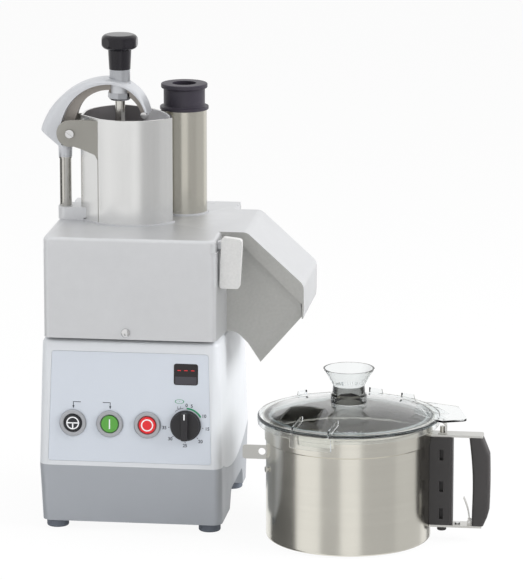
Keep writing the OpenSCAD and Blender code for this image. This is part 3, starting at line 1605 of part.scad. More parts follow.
// Steel straps that join the bracket to the grip, above and below
module handle_straps() {
    half = strap_w / 2;
    inner = bowl_r + band_out / 2;
    color([0.80, 0.80, 0.78]) at_bowl() difference() {
        union() {
            upright(-half, half) polygon(rounded(
                box_points(inner, bracket_high, strap_high_x, bracket_high + strap_t), [0, 0, strap_t * 0.9, 0]));
            upright(-half, half) polygon(box_points(inner, strap_low_z, strap_low_x, strap_low_z + strap_t));
            for (y = [-spring_w / 2 - free_gap - spring_ear_t, spring_w / 2 + free_gap])
                upright(y, y + spring_ear_t) polygon(box_points(spring_x - spring_eye_r,
                    strap_low_z + strap_t - film, spring_x + spring_eye_r, spring_z + spring_eye_r));
        }
        bowl_solid();
        for (z = [strap_low_z, bracket_high]) translate([rod_top_x, 0, z - cut])
            cylinder(r = (z < bracket_high ? plunger_r : rod_top_r) + free_gap, h = strap_t + 2 * cut);
        translate([screw_low_x, 0, strap_low_z - cut]) cylinder(r = screw_r * 0.8, h = strap_t + 2 * cut);
        translate([spring_x, spring_w, spring_z]) rotate([90, 0, 0])
            cylinder(r = spring_pin_r, h = 2 * spring_w);
    }
}

// Grip with a hollowed inner edge, a bulged back, rounded sides and cut back outer corners
function grip_ring(s) =
    let (
        low = strap_low_z + strap_t + film,
        z = low + (bracket_high - film - low) * s,
        bow = sin(180 * s),
        x0 = grip_in_x + grip_waist * bow - grip_waist * 0.4 + grip_low_in * pow(1 - s, 4),
        x1 = handle_reach - max(grip_bulge * (1 - bow), grip_top_cut * (1 - (bracket_high - z) / grip_top_h),
            grip_low_cut * (1 - (z - low) / grip_low_h)),
        h = grip_w / 2,
        r = grip_round * 0.8
    )
    [for (p = rounded([[x0, -h], [x1, -h], [x1, h], [x0, h]], r)) [p[0], p[1], z]];

module handle_grip() {
    color([0.28, 0.28, 0.30]) at_bowl() loft([for (s = [0, 0.05, 0.1, 0.16, 0.22, 0.3, 0.4, 0.5, 0.6, 0.7,
        0.76, 0.8, 0.86, 0.93, 1]) grip_ring(s)]);
}

module handle_screws() {
    pin_half = spring_w / 2 + free_gap + spring_ear_t;
    color([0.80, 0.80, 0.78]) at_bowl() translate([spring_x, pin_half, spring_z]) rotate([90, 0, 0])
        cylinder(r = spring_pin_r, h = 2 * pin_half);
    color([0.80, 0.80, 0.78]) at_bowl() translate([screw_low_x, 0, strap_low_z]) {
        cylinder(r = screw_r * 0.8, h = strap_t + cut);
        translate([0, 0, -2 * cut]) cylinder(r = screw_r, h = 2 * cut);
        translate([0, 0, strap_t]) cylinder(r = screw_r * 1.3, h = 2 * cut);
    }
}

// Small bracket that guides the top of the interlock rod under the lid ear
module interlock_bracket() {
    half = top_bracket_w / 2;
    low = bracket_high + strap_t;
    right = rod_top_x + half;
    color([0.80, 0.81, 0.80]) at_bowl() difference() {
        upright(-half, half) polygon([
            [right - 2 * half, low], [right, low],
            [right, low + top_bracket_h * 0.55], [right - half, low + top_bracket_h * 0.8],
            [right - half, low + top_bracket_h * 0.8 - top_bracket_t],
            [right - top_bracket_t, low + top_bracket_h * 0.5],
            [right - top_bracket_t, low + top_bracket_t], [right - 2 * half, low + top_bracket_t]
        ]);
        translate([rod_top_x, 0, low - cut]) cylinder(r = rod_top_r + free_gap, h = top_bracket_h / 3);
        bowl_solid();
    }
}

module interlock_rod() {
    color([0.80, 0.84, 0.84]) at_bowl() translate([rod_top_x, 0, 0]) {
        cylinder_between(rod_top_r, plunger_low + cut, bracket_high + strap_t + top_bracket_h * 0.45);
        translate([0, 0, plunger_low]) cylinder(r1 = plunger_r - cut, r2 = plunger_r, h = cut);
        cylinder_between(plunger_r, plunger_low + cut, strap_low_z + strap_t - cut);
    }
}

// Curved leaf spring beside the grip that holds the bowl on the motor base
module handle_spring() {
    steps = 6;
    x = function (s) spring_x + (spring_top_x - spring_x) * s * s;
    h = spring_w / 2;
    color([0.84, 0.83, 0.78]) at_bowl() difference() {
        union() {
            upright(-h, h) polygon(concat(
                [for (i = [0:steps]) [x(i / steps) - spring_t / 2, spring_z + spring_h * i / steps]],
                [for (i = [steps:-1:0]) [x(i / steps) + spring_t / 2, spring_z + spring_h * i / steps]]
            ));
            translate([spring_x, h, spring_z]) rotate([90, 0, 0]) cylinder(r = spring_eye_r, h = 2 * h);
        }
        translate([spring_x, h + cut, spring_z]) rotate([90, 0, 0])
            cylinder(r = spring_pin_r + fit, h = 2 * h + 2 * cut);
    }
}

// Clear lid: a dome with a rim skirt, a feed funnel, locking lugs and a long ear
function lid_dome(w) =
    let (
        r = bowl_lid_r - lid_wall * 4,
        top = funnel_boss_r,
        z0 = lid_rim_high - lid_wall,
        n = 10
    )
    [for (i = [0:n]) let (x = r + (top - r) * i / n, s = (r - x) / (r - top))
        [x, z0 + lid_wall - w + lid_dome_h * sin(90 * s)]];

module bowl_lid() {
    low = lid_rim_high - lid_wall;
    color([0.80, 0.88, 0.87, 0.5]) at_bowl() {
        rotate_extrude($fn = 120) polygon(concat(
            [[lid_ring_r - seal_ring_t, bowl_h], [bowl_lid_r - lid_wall, bowl_h], [bowl_lid_r - lid_wall, lid_rim_low]],
            arc([bowl_lid_r - lid_wall / 2, lid_rim_low + lid_wall / 2], lid_wall / 2, -90, 0, 3),
            arc([bowl_lid_r - lid_wall, lid_rim_high - lid_wall], lid_wall, 0, 90, 4),
            lid_dome(0),
            funnel_outer(),
            funnel_inner(),
            [for (i = [len(lid_dome(0)) - 1:-1:0]) lid_dome(lid_wall)[i]],
            [[lid_ring_r - seal_ring_t, low]]
        ));
        for (a = lug_degs) rotate(a) lid_lug();
        lid_ear();
    }
}

function funnel_outer() =
    let (z0 = lid_rim_high + lid_dome_h)
    [
        [funnel_boss_r, z0 + funnel_wall * 4],
        [funnel_neck_r + funnel_wall + cut, z0 + funnel_wall * 5],
        [funnel_neck_r + funnel_wall, funnel_neck_z],
        [funnel_top_r - cut, funnel_top_z - funnel_wall],
        [funnel_top_r, funnel_top_z]
    ];

function funnel_inner() =
    let (z0 = lid_rim_high + lid_dome_h)
    [
        [funnel_top_r - funnel_wall, funnel_top_z],
        [funnel_neck_r, funnel_neck_z],
        [funnel_neck_r, z0 - lid_wall]
    ];

// Locking lug: a hanging skirt with a pair of triangular ribs
module lid_lug() {
    half = lug_w / 2;
    intersection() {
        translate([0, -half, lid_rim_low - lug_drop])
            cube([2 * bowl_lid_r, 2 * half, lug_drop + lid_rim_high - lid_rim_low - lid_wall * 1.2]);
        difference() {
            cylinder(r = bowl_lid_r + lug_t / 2, h = lid_rim_high, $fn = 120);
            translate([0, 0, -cut]) cylinder(r = bowl_lid_r - lug_t / 3, h = lid_rim_high + 2 * cut, $fn = 120);
        }
    }
    for (y = [-half + rib_t, half - 2 * rib_t]) lid_rib(y, lid_rim_high + rib_h * 0.4,
        [[bowl_lid_r - cut, lid_rim_high - lid_wall * 1.33], [bowl_lid_r - lid_wall, lid_rim_high - lid_wall * 1.33]]);
}

// Rib that rises from the dome, with its own outer end
module lid_rib(y, outer_z, ends) {
    translate([0, y, 0]) upright(0, rib_t) polygon(concat(
        [[bowl_lid_r - rib_l, lid_rim_high + rib_h * 0.5], [bowl_lid_r - rib_l, lid_rim_high + rib_h],
            [bowl_lid_r - lid_wall * 1.5, outer_z]],
        ends, [[bowl_lid_r - 2 * lid_wall, lid_rim_high - lid_wall / 2]]
    ));
}

// Long flat ear on the right that presses the interlock rod
module lid_ear() {
    translate([0, 0, lid_rim_high - lid_ear_t + film * 4]) linear_extrude(lid_ear_t)
        polygon(rounded(bowl_lid_r * lid_ear_shares, [0, 2 * base_wall, 2 * base_wall, base_wall, 0]));
    for (y = [-lid_ear_rib_w / 3, lid_ear_rib_w / 3 - rib_t]) lid_rib(y, lid_rim_high + rib_h * 0.6,
        [[bowl_lid_r + rib_l / 2, lid_rim_high - lid_wall / 2]]);
}

module lid_seal() {
    color([0.75, 0.80, 0.80]) at_bowl() translate([0, 0, bowl_h - seal_ring_h]) difference() {
        cylinder(r = lid_ring_r, h = seal_ring_h);
        translate([0, 0, -cut]) cylinder(r = lid_ring_r - seal_ring_t, h = seal_ring_h + 2 * cut);
    }
}

// Tall hub of the cutter, which drops over the centre tube
module blade_hub() {
    bore = centre_tube_r + fit;
    color([0.72, 0.73, 0.72]) at_bowl() difference() {
        rotate_extrude() polygon([
            [0, hub_low], [hub_base_r, hub_low], [hub_base_r, hub_low + hub_base_h],
            [bore + blade_hub_wall, hub_low + hub_base_h + blade_hub_wall],
            [bore + blade_hub_wall, centre_tube_h + 2 * blade_hub_wall],
            [hub_top_r + blade_hub_wall, hub_top - blade_hub_wall], [hub_top_r, hub_top], [0, hub_top]
        ]);
        cylinder_between(bore, hub_low - cut, centre_tube_h);
    }
}

// One curved blade as a sickle outline
module sickle(reach) {
    c = cutter_blade_w;
    polygon(concat(
        [for (i = [0:blade_steps]) let (a = 150 * i / blade_steps, s = i / blade_steps)
            [(hub_base_r - c / 4 + (reach - hub_base_r + c / 4) * s) * cos(a * 0.5),
                (hub_base_r - c / 4 + (reach - hub_base_r + c / 4) * s) * sin(a * 0.5)]],
        [for (i = [blade_steps:-1:0]) let (a = 150 * i / blade_steps, s = i / blade_steps,
                r = hub_base_r - c / 4 + (reach - hub_base_r + c / 4) * s * 0.97)
            [r * cos(a * 0.5 - 46 * (1 - s) - 4), r * sin(a * 0.5 - 46 * (1 - s) - 4)]]
    ));
}

module cutter_blades() {
    inner = centre_tube_r + fit + blade_hub_wall;
    color([0.75, 0.77, 0.78]) at_bowl() difference() {
        union() {
            translate([0, 0, cutter_low_z]) linear_extrude(cutter_blade_t) sickle(cutter_blade_reach);
            rotate(180) translate([0, 0, cutter_high_z]) linear_extrude(cutter_blade_t)
                sickle(cutter_high_reach);
            cylinder_between(inner + bowl_wall, cutter_high_z - cutter_blade_t, cutter_high_z + 2 * cutter_blade_t);
        }
        cylinder_between(inner, cutter_high_z - 2 * cutter_blade_t, cutter_high_z + 3 * cutter_blade_t);
        cylinder_between(hub_base_r, 0, cutter_low_z + 2 * cutter_blade_t);
    }
}

module blade_cap() {
    color([0.16, 0.16, 0.17]) at_bowl() cylinder_between(hub_top_r - cut, hub_top, hub_top + cap_ring_h);
}

lower_base();
upper_housing();
feet();
bottom_cover();
cover_screws();
cable_gland();
control_panel();
display_window();
button_bezels();
speed_controller();
motor_casing();
motor_flange();
motor_stator();
motor_windings();
motor_bearings();
shaft_seal();
motor_rotor();
drive_shaft();
cooling_fan();
discharge_plate();
slicing_disc();
disc_nut();
pulse_button();
start_button();
stop_button();
speed_knob();
vegetable_bowl();
front_stud();
latch_bracket();
latch_lever();
hinge_pin();
feed_head_cover();
large_hopper();
small_hopper_tube();
lever_ears();
lever_pin();
rod_block();
restart_rod();
lever_arm();
lever_bushing();
pusher_bushing();
tip_pin();
pusher_rod();
pusher_plate();
pusher_knob();
small_pusher();
cutter_bowl();
bowl_tab();
handle_bracket();
handle_straps();
handle_grip();
handle_screws();
interlock_bracket();
interlock_rod();
handle_spring();
bowl_lid();
lid_seal();
blade_hub();
cutter_blades();
blade_cap();
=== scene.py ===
import math

import bpy
from mathutils import Matrix, Vector


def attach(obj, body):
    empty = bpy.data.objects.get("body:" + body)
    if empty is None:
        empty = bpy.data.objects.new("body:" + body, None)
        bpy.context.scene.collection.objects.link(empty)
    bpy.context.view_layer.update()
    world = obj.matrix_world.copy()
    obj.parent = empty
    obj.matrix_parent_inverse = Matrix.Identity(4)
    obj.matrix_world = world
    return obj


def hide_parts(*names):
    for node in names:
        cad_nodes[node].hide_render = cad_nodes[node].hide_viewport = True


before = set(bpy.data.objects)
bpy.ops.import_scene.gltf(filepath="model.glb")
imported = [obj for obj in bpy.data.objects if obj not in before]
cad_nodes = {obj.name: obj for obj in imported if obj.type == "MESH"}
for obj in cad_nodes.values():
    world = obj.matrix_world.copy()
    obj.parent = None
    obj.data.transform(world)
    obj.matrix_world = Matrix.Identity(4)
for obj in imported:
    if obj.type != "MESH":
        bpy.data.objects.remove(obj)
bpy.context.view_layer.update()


# Lower base. One aluminium casting with a hand grip under each side, sprayed in a satin
# metallic grey. It stands on the feet and carries the motor, the electronics and the cable.
mm = 0.001
weld_gap = 0.00001


def seen(red, green, blue):
    """A colour as it looks on paper, from 0 to 255, as linear values by the sRGB curve."""
    shares = [value / 255 for value in (red, green, blue)]
    return tuple(s / 12.92 if s <= 0.04045 else ((s + 0.055) / 1.055) ** 2.4 for s in shares) + (1.0,)


def new_group(name, inputs, outputs):
    """An empty node group with its sockets, and its tree and two end nodes."""
    group = bpy.data.node_groups.new(name, "ShaderNodeTree")
    for label, kind, value in inputs:
        group.interface.new_socket(label, in_out="INPUT", socket_type=kind).default_value = value
    for label in outputs:
        group.interface.new_socket(label, in_out="OUTPUT", socket_type="NodeSocketFloat")
    return group, group.nodes.new("NodeGroupInput"), group.nodes.new("NodeGroupOutput")


def noise_in(tree, vector, scale=None, detail=2.0, fixed=None):
    """Noise from 0 to 1, whose scale is an output socket or a fixed value."""
    node = tree.nodes.new("ShaderNodeTexNoise")
    node.inputs["Detail"].default_value = detail
    tree.links.new(vector, node.inputs["Vector"])
    if scale is not None:
        tree.links.new(scale, node.inputs["Scale"])
    if fixed is not None:
        node.inputs["Scale"].default_value = fixed
    return node.outputs["Fac"]


def cast_skin_group():
    """Sandy skin of a casting: fine grains and soft, wide patches."""
    group, start, end = new_group(
        "cast_skin",
        [("Grains per metre", "NodeSocketFloat", 900.0), ("Patches per metre", "NodeSocketFloat", 14.0)],
        ["Grain", "Patches"],
    )
    place = group.nodes.new("ShaderNodeTexCoord").outputs["Object"]
    grains = noise_in(group, place, start.outputs["Grains per metre"], detail=4.0)
    group.links.new(grains, end.inputs["Grain"])
    patches = noise_in(group, place, start.outputs["Patches per metre"], detail=3.0)
    group.links.new(patches, end.inputs["Patches"])
    return group


def handling_group():
    """Faint finger and wiping marks, which change how much a surface shines."""
    group, start, end = new_group(
        "handling_marks", [("Marks per metre", "NodeSocketFloat", 24.0)], ["Marks"])
    place = group.nodes.new("ShaderNodeTexCoord").outputs["Object"]
    spots = noise_in(group, place, start.outputs["Marks per metre"])
    spread = group.nodes.new("ShaderNodeMapRange")
    spread.inputs["From Min"].default_value = 0.2
    spread.inputs["From Max"].default_value = 0.8
    group.links.new(spots, spread.inputs["Value"])
    group.links.new(spread.outputs["Result"], end.inputs["Marks"])
    return group


def edge_wear_highlight_group():
    """Brighter, barer metal on convex edges, partly rubbed wear and partly a painted highlight; a flat
    face has a pointiness of 0.5.
    """
    just_convex = 0.51
    group, start, end = new_group("edge_wear_highlight", [("Reach", "NodeSocketFloat", 0.08)], ["Rub"])
    shape = group.nodes.new("ShaderNodeNewGeometry").outputs["Pointiness"]
    place = group.nodes.new("ShaderNodeTexCoord").outputs["Object"]
    top = group.nodes.new("ShaderNodeMath")
    top.operation = "ADD"
    top.inputs[1].default_value = just_convex
    group.links.new(start.outputs["Reach"], top.inputs[0])
    convex = group.nodes.new("ShaderNodeMapRange")
    convex.inputs["From Min"].default_value = just_convex
    group.links.new(shape, convex.inputs["Value"])
    group.links.new(top.outputs["Value"], convex.inputs["From Max"])
    broken = group.nodes.new("ShaderNodeMath")
    broken.operation = "MULTIPLY"
    group.links.new(convex.outputs["Result"], broken.inputs[0])
    group.links.new(noise_in(group, place, detail=3.0, fixed=60.0), broken.inputs[1])
    group.links.new(broken.outputs["Value"], end.inputs["Rub"])
    return group


cast_skin = cast_skin_group()
handling_marks = handling_group()
edge_wear_highlight = edge_wear_highlight_group()


def place_group(tree, group, **values):
    """A node group in a tree, with values for its inputs, whose blanks are written as _."""
    node = tree.nodes.new("ShaderNodeGroup")
    node.node_tree = group
    for label, value in values.items():
        node.inputs[label.replace("_", " ")].default_value = value
    return node


def mixed(tree, factor, first, second):
    """A colour that goes from first to second, each a colour or an output socket."""
    node = tree.nodes.new("ShaderNodeMix")
    node.data_type = "RGBA"
    tree.links.new(factor, node.inputs["Factor"])
    colour_a, colour_b, colour_out = node.inputs[6], node.inputs[7], node.outputs[2]
    for socket, value in ((colour_a, first), (colour_b, second)):
        if isinstance(value, bpy.types.NodeSocket):
            tree.links.new(value, socket)
        else:
            socket.default_value = value
    return colour_out


def ranged(tree, value, low, high):
    """A value from 0 to 1 as a value from low to high."""
    node = tree.nodes.new("ShaderNodeMapRange")
    node.inputs["To Min"].default_value = low
    node.inputs["To Max"].default_value = high
    tree.links.new(value, node.inputs["Value"])
    return node.outputs["Result"]


def bumped(tree, shader, height, depth):
    """Relief of a shader from a height of 0 to 1 and its depth in metres."""
    node = tree.nodes.new("ShaderNodeBump")
    node.inputs["Distance"].default_value = depth
    node.inputs["Strength"].default_value = 0.6
    tree.links.new(height, node.inputs["Height"])
    tree.links.new(node.outputs["Normal"], shader.inputs["Normal"])


def shaded(colour, factor):
    """A colour made darker or lighter by a factor."""
    return tuple(min(1.0, c * factor) for c in colour[:3]) + (1.0,)


def new_material(name):
    """A material with its tree and its shader."""
    material = bpy.data.materials.new(name)
    material.use_nodes = True
    tree = material.node_tree
    return material, tree, tree.nodes["Principled BSDF"]


def marked_roughness(tree, shader, low, high, marks=24.0):
    """Lets handling marks, so many to a metre, move the roughness from low to high."""
    touched = place_group(tree, handling_marks, Marks_per_metre=marks)
    tree.links.new(ranged(tree, touched.outputs["Marks"], low, high), shader.inputs["Roughness"])


def skin_material(name, colour, metallic, roughness, grains=900.0, depth=0.03, spread=0.05,
                  polish=0.07, wear_highlight=0.0, patches=14.0):
    """A cast, painted or moulded surface, with grain in its relief and patches in its colour, and convex
    edges brightened by wear and a painted highlight when asked.
    """
    material, tree, shader = new_material(name)
    shader.inputs["Metallic"].default_value = metallic
    skin = place_group(tree, cast_skin, Grains_per_metre=grains, Patches_per_metre=patches)
    base = mixed(tree, skin.outputs["Patches"], shaded(colour, 1 - spread), shaded(colour, 1 + spread))
    # brighter convex edges: partly wear, partly a painted highlight
    if wear_highlight:
        wear_highlight_node = place_group(tree, edge_wear_highlight)
        base = mixed(tree, wear_highlight_node.outputs["Rub"], base, shaded(colour, 1 + wear_highlight))
    tree.links.new(base, shader.inputs["Base Color"])
    marked_roughness(tree, shader, roughness + polish, roughness - polish)
    bumped(tree, shader, skin.outputs["Grain"], depth * mm)
    return material


def select_only(pieces):
    """Selects these pieces and nothing else."""
    bpy.ops.object.select_all(action="DESELECT")
    for piece in pieces:
        piece.select_set(True)


def ease_edges(piece, width, steps, sharp):
    """Rounds the edges of the active piece that turn by more than so many degrees."""
    easing = piece.modifiers.new("eased edges", "BEVEL")
    easing.width = width * mm
    easing.segments = steps
    easing.limit_method = "ANGLE"
    easing.angle_limit = math.radians(sharp)
    bpy.ops.object.modifier_apply(modifier=easing.name)


def coat(piece, material):
    """Gives a piece this material and no other."""
    piece.data.materials.clear()
    piece.data.materials.append(material)


def finished(node, body, material, edge=0.5, steps=2, sharp=32, flat=0.4, level=True):
    """A merged copy of a CAD solid with its sharp edges eased, which stands for the solid."""
    piece = bpy.data.objects.new(node + "_made", cad_nodes[node].data.copy())
    bpy.context.scene.collection.objects.link(piece)
    select_only([piece])
    bpy.context.view_layer.objects.active = piece
    bpy.ops.mesh.customdata_custom_splitnormals_clear()
    bpy.ops.object.mode_set(mode="EDIT")
    bpy.ops.mesh.select_all(action="SELECT")
    bpy.ops.mesh.remove_doubles(threshold=weld_gap)
    bpy.ops.mesh.dissolve_limited(angle_limit=math.radians(flat))
    bpy.ops.object.mode_set(mode="OBJECT")
    if edge:
        ease_edges(piece, edge, steps, sharp)
    bpy.ops.object.shade_smooth_by_angle(angle=math.radians(sharp))
    if edge and level:
        flatten = piece.modifiers.new("flat faces stay flat", "WEIGHTED_NORMAL")
        flatten.keep_sharp = True
        bpy.ops.object.modifier_apply(modifier=flatten.name)
    coat(piece, material)
    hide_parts(node)
    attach(piece, body)
    return piece


paint = skin_material("satin_grey_paint", seen(170, 174, 180), metallic=0.35, roughness=0.42,
                      grains=700, depth=0.02, spread=0.03)
finished("lower_base", "motor_base", paint, edge=1.2, steps=3)


# Feet. Four turned rubber feet, screwed into the corners of the lower base from below.
# The rubber is a matt blue-grey with a fine mould skin.
rubber = skin_material("grey_rubber", seen(104, 110, 120), metallic=0.0, roughness=0.72,
                       grains=1600, depth=0.03, spread=0.08)
finished("feet", "motor_base", rubber, edge=0.8, steps=3)


# Bottom cover, its four screws and the cable gland. The cover is a pressed steel sheet with
# air slots, held in the roof of the hand grip, and the gland is moulded in black nylon.
def keep_solid(node, material):
    """A CAD solid whose shape is right as it is gets its material and nothing more."""
    coat(cad_nodes[node], material)


sheet_steel = skin_material("zinc_plated_sheet", seen(168, 170, 172), metallic=0.9, roughness=0.38,
                            grains=1400, depth=0.01)
screw_steel = skin_material("screw_steel", seen(190, 191, 192), metallic=1.0, roughness=0.25,
                            grains=2000, depth=0.01)
nylon = skin_material("black_nylon", seen(38, 38, 41), metallic=0.0, roughness=0.5,
                      grains=1500, depth=0.03, spread=0.15)
finished("bottom_cover", "motor_base", sheet_steel, edge=0.3)
keep_solid("cover_screws", screw_steel)
finished("cable_gland", "motor_base", nylon, edge=0.6)


# Motor and speed control. An induction motor hangs under the top of the housing: a finned cast
# casing, a flange that bolts it up, laminated iron, enamelled copper windings, ball bearings,
# seal, shaft and fan. The control board and its heat sink stand on the floor of the base.
motor_cast = skin_material("motor_casting", seen(140, 144, 150), metallic=0.7, roughness=0.55,
                           grains=500, depth=0.08, spread=0.1)
iron = skin_material("laminated_iron", seen(96, 98, 102), metallic=0.8, roughness=0.5,
                     grains=2400, depth=0.04, spread=0.1)
copper = skin_material("enamelled_copper", seen(170, 98, 48), metallic=0.6, roughness=0.35,
                       grains=1300, depth=0.2, spread=0.2)
black_moulding = skin_material("black_moulding", seen(34, 33, 36), metallic=0.0, roughness=0.45,
                               grains=1500, depth=0.02, spread=0.12)
board_green = skin_material("control_board", seen(70, 104, 84), metallic=0.1, roughness=0.5,
                            grains=300, depth=0.1, spread=0.25)
turned_steel = skin_material("turned_steel", seen(178, 180, 182), metallic=1.0, roughness=0.28,
                             grains=2500, depth=0.01)
for inner_node, inner_material in (
    ("speed_controller", board_green), ("motor_casing", motor_cast), ("motor_flange", motor_cast),
    ("motor_stator", iron), ("motor_windings", copper), ("motor_bearings", turned_steel),
    ("shaft_seal", rubber), ("motor_rotor", iron), ("drive_shaft", turned_steel),
    ("cooling_fan", black_moulding),
):
    keep_solid(inner_node, inner_material)


# Upper housing. A second aluminium casting with rounded top edges, sprayed in a light silver
# paint. Its sides reach down in a shallow arc over the lower base.
housing_paint = skin_material("light_silver_paint", seen(214, 217, 221), metallic=0.2, roughness=0.4,
                              grains=800, depth=0.015, spread=0.025)
finished("upper_housing", "motor_base", housing_paint, edge=1.0, steps=3)


# Control panel. A printed, pale blue-silver polyester sheet glued into a shallow recess of the
# leaning front, with the signs printed on it in dark ink and green.
def axis_of(node):
    """The upright axis through the middle of a round CAD solid."""
    corners = [Vector(corner) for corner in cad_nodes[node].bound_box]
    middle = [(min(c[i] for c in corners) + max(c[i] for c in corners)) / 2 for i in (0, 1)]
    return Vector(middle + [0.0])


motor_axis = axis_of("drive_shaft")
panel_face = 0.2
ink_height = 0.15
ink_sink = 0.03
on_panel = panel_face - ink_sink
# the front leans back by so much over so much height, and prints are placed from its foot
lean_back, lean_high = 11.9, 170.5
front_lean = math.atan2(lean_back, lean_high)
front_foot = Vector((0, -0.1509, 0.0965))
front_place = (Matrix.Translation(motor_axis + front_foot)
               @ Matrix.Rotation(math.pi / 2 - front_lean, 4, "X"))
panel_film = skin_material("printed_panel_film", seen(203, 209, 218), metallic=0.1, roughness=0.36,
                           grains=2600, depth=0.008, spread=0.02, polish=0.04)
finished("control_panel", "motor_base", panel_film, edge=0.15, steps=1)


def ink(name, colour):
    """Printing ink of one colour."""
    return skin_material(name, seen(*colour), metallic=0.0, roughness=0.4,
                         grains=3000, depth=0.004, spread=0.06)


dark_ink = ink("dark_ink", (40, 44, 58))
green_ink = ink("green_ink", (22, 140, 92))
white_ink = ink("white_ink", (240, 241, 243))


def join_selected(name):
    """Joins what is selected into one mesh with this name."""
    bpy.context.view_layer.objects.active = bpy.context.selected_objects[0]
    if len(bpy.context.selected_objects) > 1:
        bpy.ops.object.join()
    piece = bpy.context.view_layer.objects.active
    piece.name = name
    bpy.ops.object.transform_apply(location=True, rotation=True, scale=True)
    return piece


def stroke(x0, y0, x1, y1, width):
    """A flat line from one point to another, in millimetres, with square ends past both."""
    bpy.ops.mesh.primitive_plane_add(size=1, location=((x0 + x1) / 2 * mm, (y0 + y1) / 2 * mm, 0),
                                     rotation=(0, 0, math.atan2(y1 - y0, x1 - x0)))
    line = bpy.context.object
    line.scale = ((math.hypot(x1 - x0, y1 - y0) + width) * mm, width * mm, 1)
    return line


def band(x, y, inner, outer, start=0.0, end=360.0, steps=48, wide=1.0):
    """A flat ring or arc about a point, spun from a short edge, clockwise from the top."""
    bpy.ops.mesh.primitive_plane_add(size=1, location=(0, 0, 0))
    ring = bpy.context.object
    bpy.ops.object.mode_set(mode="EDIT")
    bpy.ops.mesh.delete(type="ONLY_FACE")
    bpy.ops.object.mode_set(mode="OBJECT")
    a = math.radians(90 - start)
    for vertex in ring.data.vertices:
        r = (outer if vertex.co.y > 0 else inner) * mm
        vertex.co = (r * math.cos(a), r * math.sin(a), 0)
    bpy.ops.object.mode_set(mode="EDIT")
    bpy.ops.mesh.select_all(action="SELECT")
    bpy.ops.mesh.remove_doubles(threshold=weld_gap)
    bpy.ops.mesh.spin(steps=steps, angle=math.radians(end - start), center=(0, 0, 0), axis=(0, 0, 1))
    bpy.ops.mesh.select_all(action="SELECT")
    bpy.ops.mesh.remove_doubles(threshold=weld_gap)
    bpy.ops.mesh.normals_make_consistent(inside=False)
    bpy.ops.object.mode_set(mode="OBJECT")
    ring.scale = (wide, 1, 1)
    ring.location = (x * mm, y * mm, 0)
    return ring


def disc(x, y, radius, corners=40):
    """A flat round dot."""
    bpy.ops.mesh.primitive_circle_add(vertices=corners, radius=radius * mm, fill_type="NGON",
                                      location=(x * mm, y * mm, 0))
    return bpy.context.object


def lay_print(name, parts, material, height, body, thick=ink_height):
    """Gives flat printed parts a little thickness and lays them on the leaning front."""
    select_only(parts)
    piece = join_selected(name)
    bpy.ops.object.mode_set(mode="EDIT")
    bpy.ops.mesh.select_mode(type="FACE")
    bpy.ops.mesh.select_all(action="DESELECT")
    bpy.ops.object.mode_set(mode="OBJECT")
    for face in piece.data.polygons:
        face.select = face.normal.z < 0
    bpy.ops.object.mode_set(mode="EDIT")
    bpy.ops.mesh.flip_normals()
    bpy.ops.mesh.select_mode(type="VERT")
    bpy.ops.object.mode_set(mode="OBJECT")
    build = piece.modifiers.new("ink thickness", "SOLIDIFY")
    build.thickness = thick * mm
    build.offset = 1.0
    bpy.ops.object.modifier_apply(modifier=build.name)
    piece.data.transform(front_place @ Matrix.Translation((0, 0, height * mm)))
    coat(piece, material)
    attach(piece, body)


def arrow(x, y_from, y_to, width):
    """A short upright line with a solid head that points down."""
    head_radius, head_middle, shaft_end = 2.3, 1.4, 2.2
    bpy.ops.mesh.primitive_circle_add(vertices=3, radius=head_radius * mm, fill_type="NGON",
                                      location=(x * mm, (y_to + head_middle) * mm, 0),
                                      rotation=(0, 0, math.pi))
    head = bpy.context.object
    head.scale = (0.75, 1.25, 1)
    return [stroke(x, y_from, x, y_to + shaft_end, width), head]


link_left, link_right, link_end = -79.5, -27.5, 10.0
link_up, link_tip, link_line = 90.5, 82.5, 0.9
lay_print("together_bracket", [
    *arrow(link_left, link_up, link_tip, link_line),
    stroke(link_left, link_up, link_left + link_end, link_up, link_line),
    stroke(link_right - link_end, link_up, link_right, link_up, link_line),
    *arrow(link_right, link_up, link_tip, link_line),
], dark_ink, on_panel, "motor_base")


# Push buttons. Each has a threaded aluminium collar, clamped through the panel, and a moulded
# cap with its sign printed in white: black to pulse, green to start, red to stop.
button_up = 60.6
pulse_x, start_x, stop_x = -80.0, -28.0, 25.0
cap_face = 3.0
on_cap = cap_face - ink_sink
sign_line, stem_line = 1.7, 1.9
pulse_half, pulse_bar_up = 6.9, button_up + 0.2
pulse_stem_up, pulse_foot_up = button_up - 0.4, button_up - 6.6
start_half = 6.0
collar_metal = skin_material("anodised_collar", seen(176, 178, 182), metallic=0.85, roughness=0.34,
                             grains=2200, depth=0.01)
finished("button_bezels", "motor_base", collar_metal, edge=0.35, steps=2)
black_cap = skin_material("black_cap", seen(30, 31, 36), metallic=0.0, roughness=0.32,
                          grains=2600, depth=0.008, spread=0.1)
green_cap = skin_material("green_cap", seen(86, 158, 62), metallic=0.0, roughness=0.34,
                          grains=2600, depth=0.008, spread=0.05)
red_cap = skin_material("red_cap", seen(222, 34, 42), metallic=0.0, roughness=0.34,
                        grains=2600, depth=0.008, spread=0.05)
finished("pulse_button", "pulse_button", black_cap, edge=0.3)
finished("start_button", "start_button", green_cap, edge=0.3)
finished("stop_button", "stop_button", red_cap, edge=0.3)
lay_print("pulse_sign", [
    band(pulse_x, button_up, inner=7.4, outer=9.0),
    stroke(pulse_x - pulse_half, pulse_bar_up, pulse_x + pulse_half, pulse_bar_up, sign_line),
    stroke(pulse_x, pulse_stem_up, pulse_x, pulse_foot_up, stem_line),
], white_ink, on_cap, "pulse_button")
lay_print("start_sign", [
    stroke(start_x, button_up - start_half, start_x, button_up + start_half, sign_line),
], white_ink, on_cap, "start_button")
lay_print("stop_sign", [band(stop_x, button_up, inner=6.9, outer=8.6)],
          white_ink, on_cap, "stop_button")


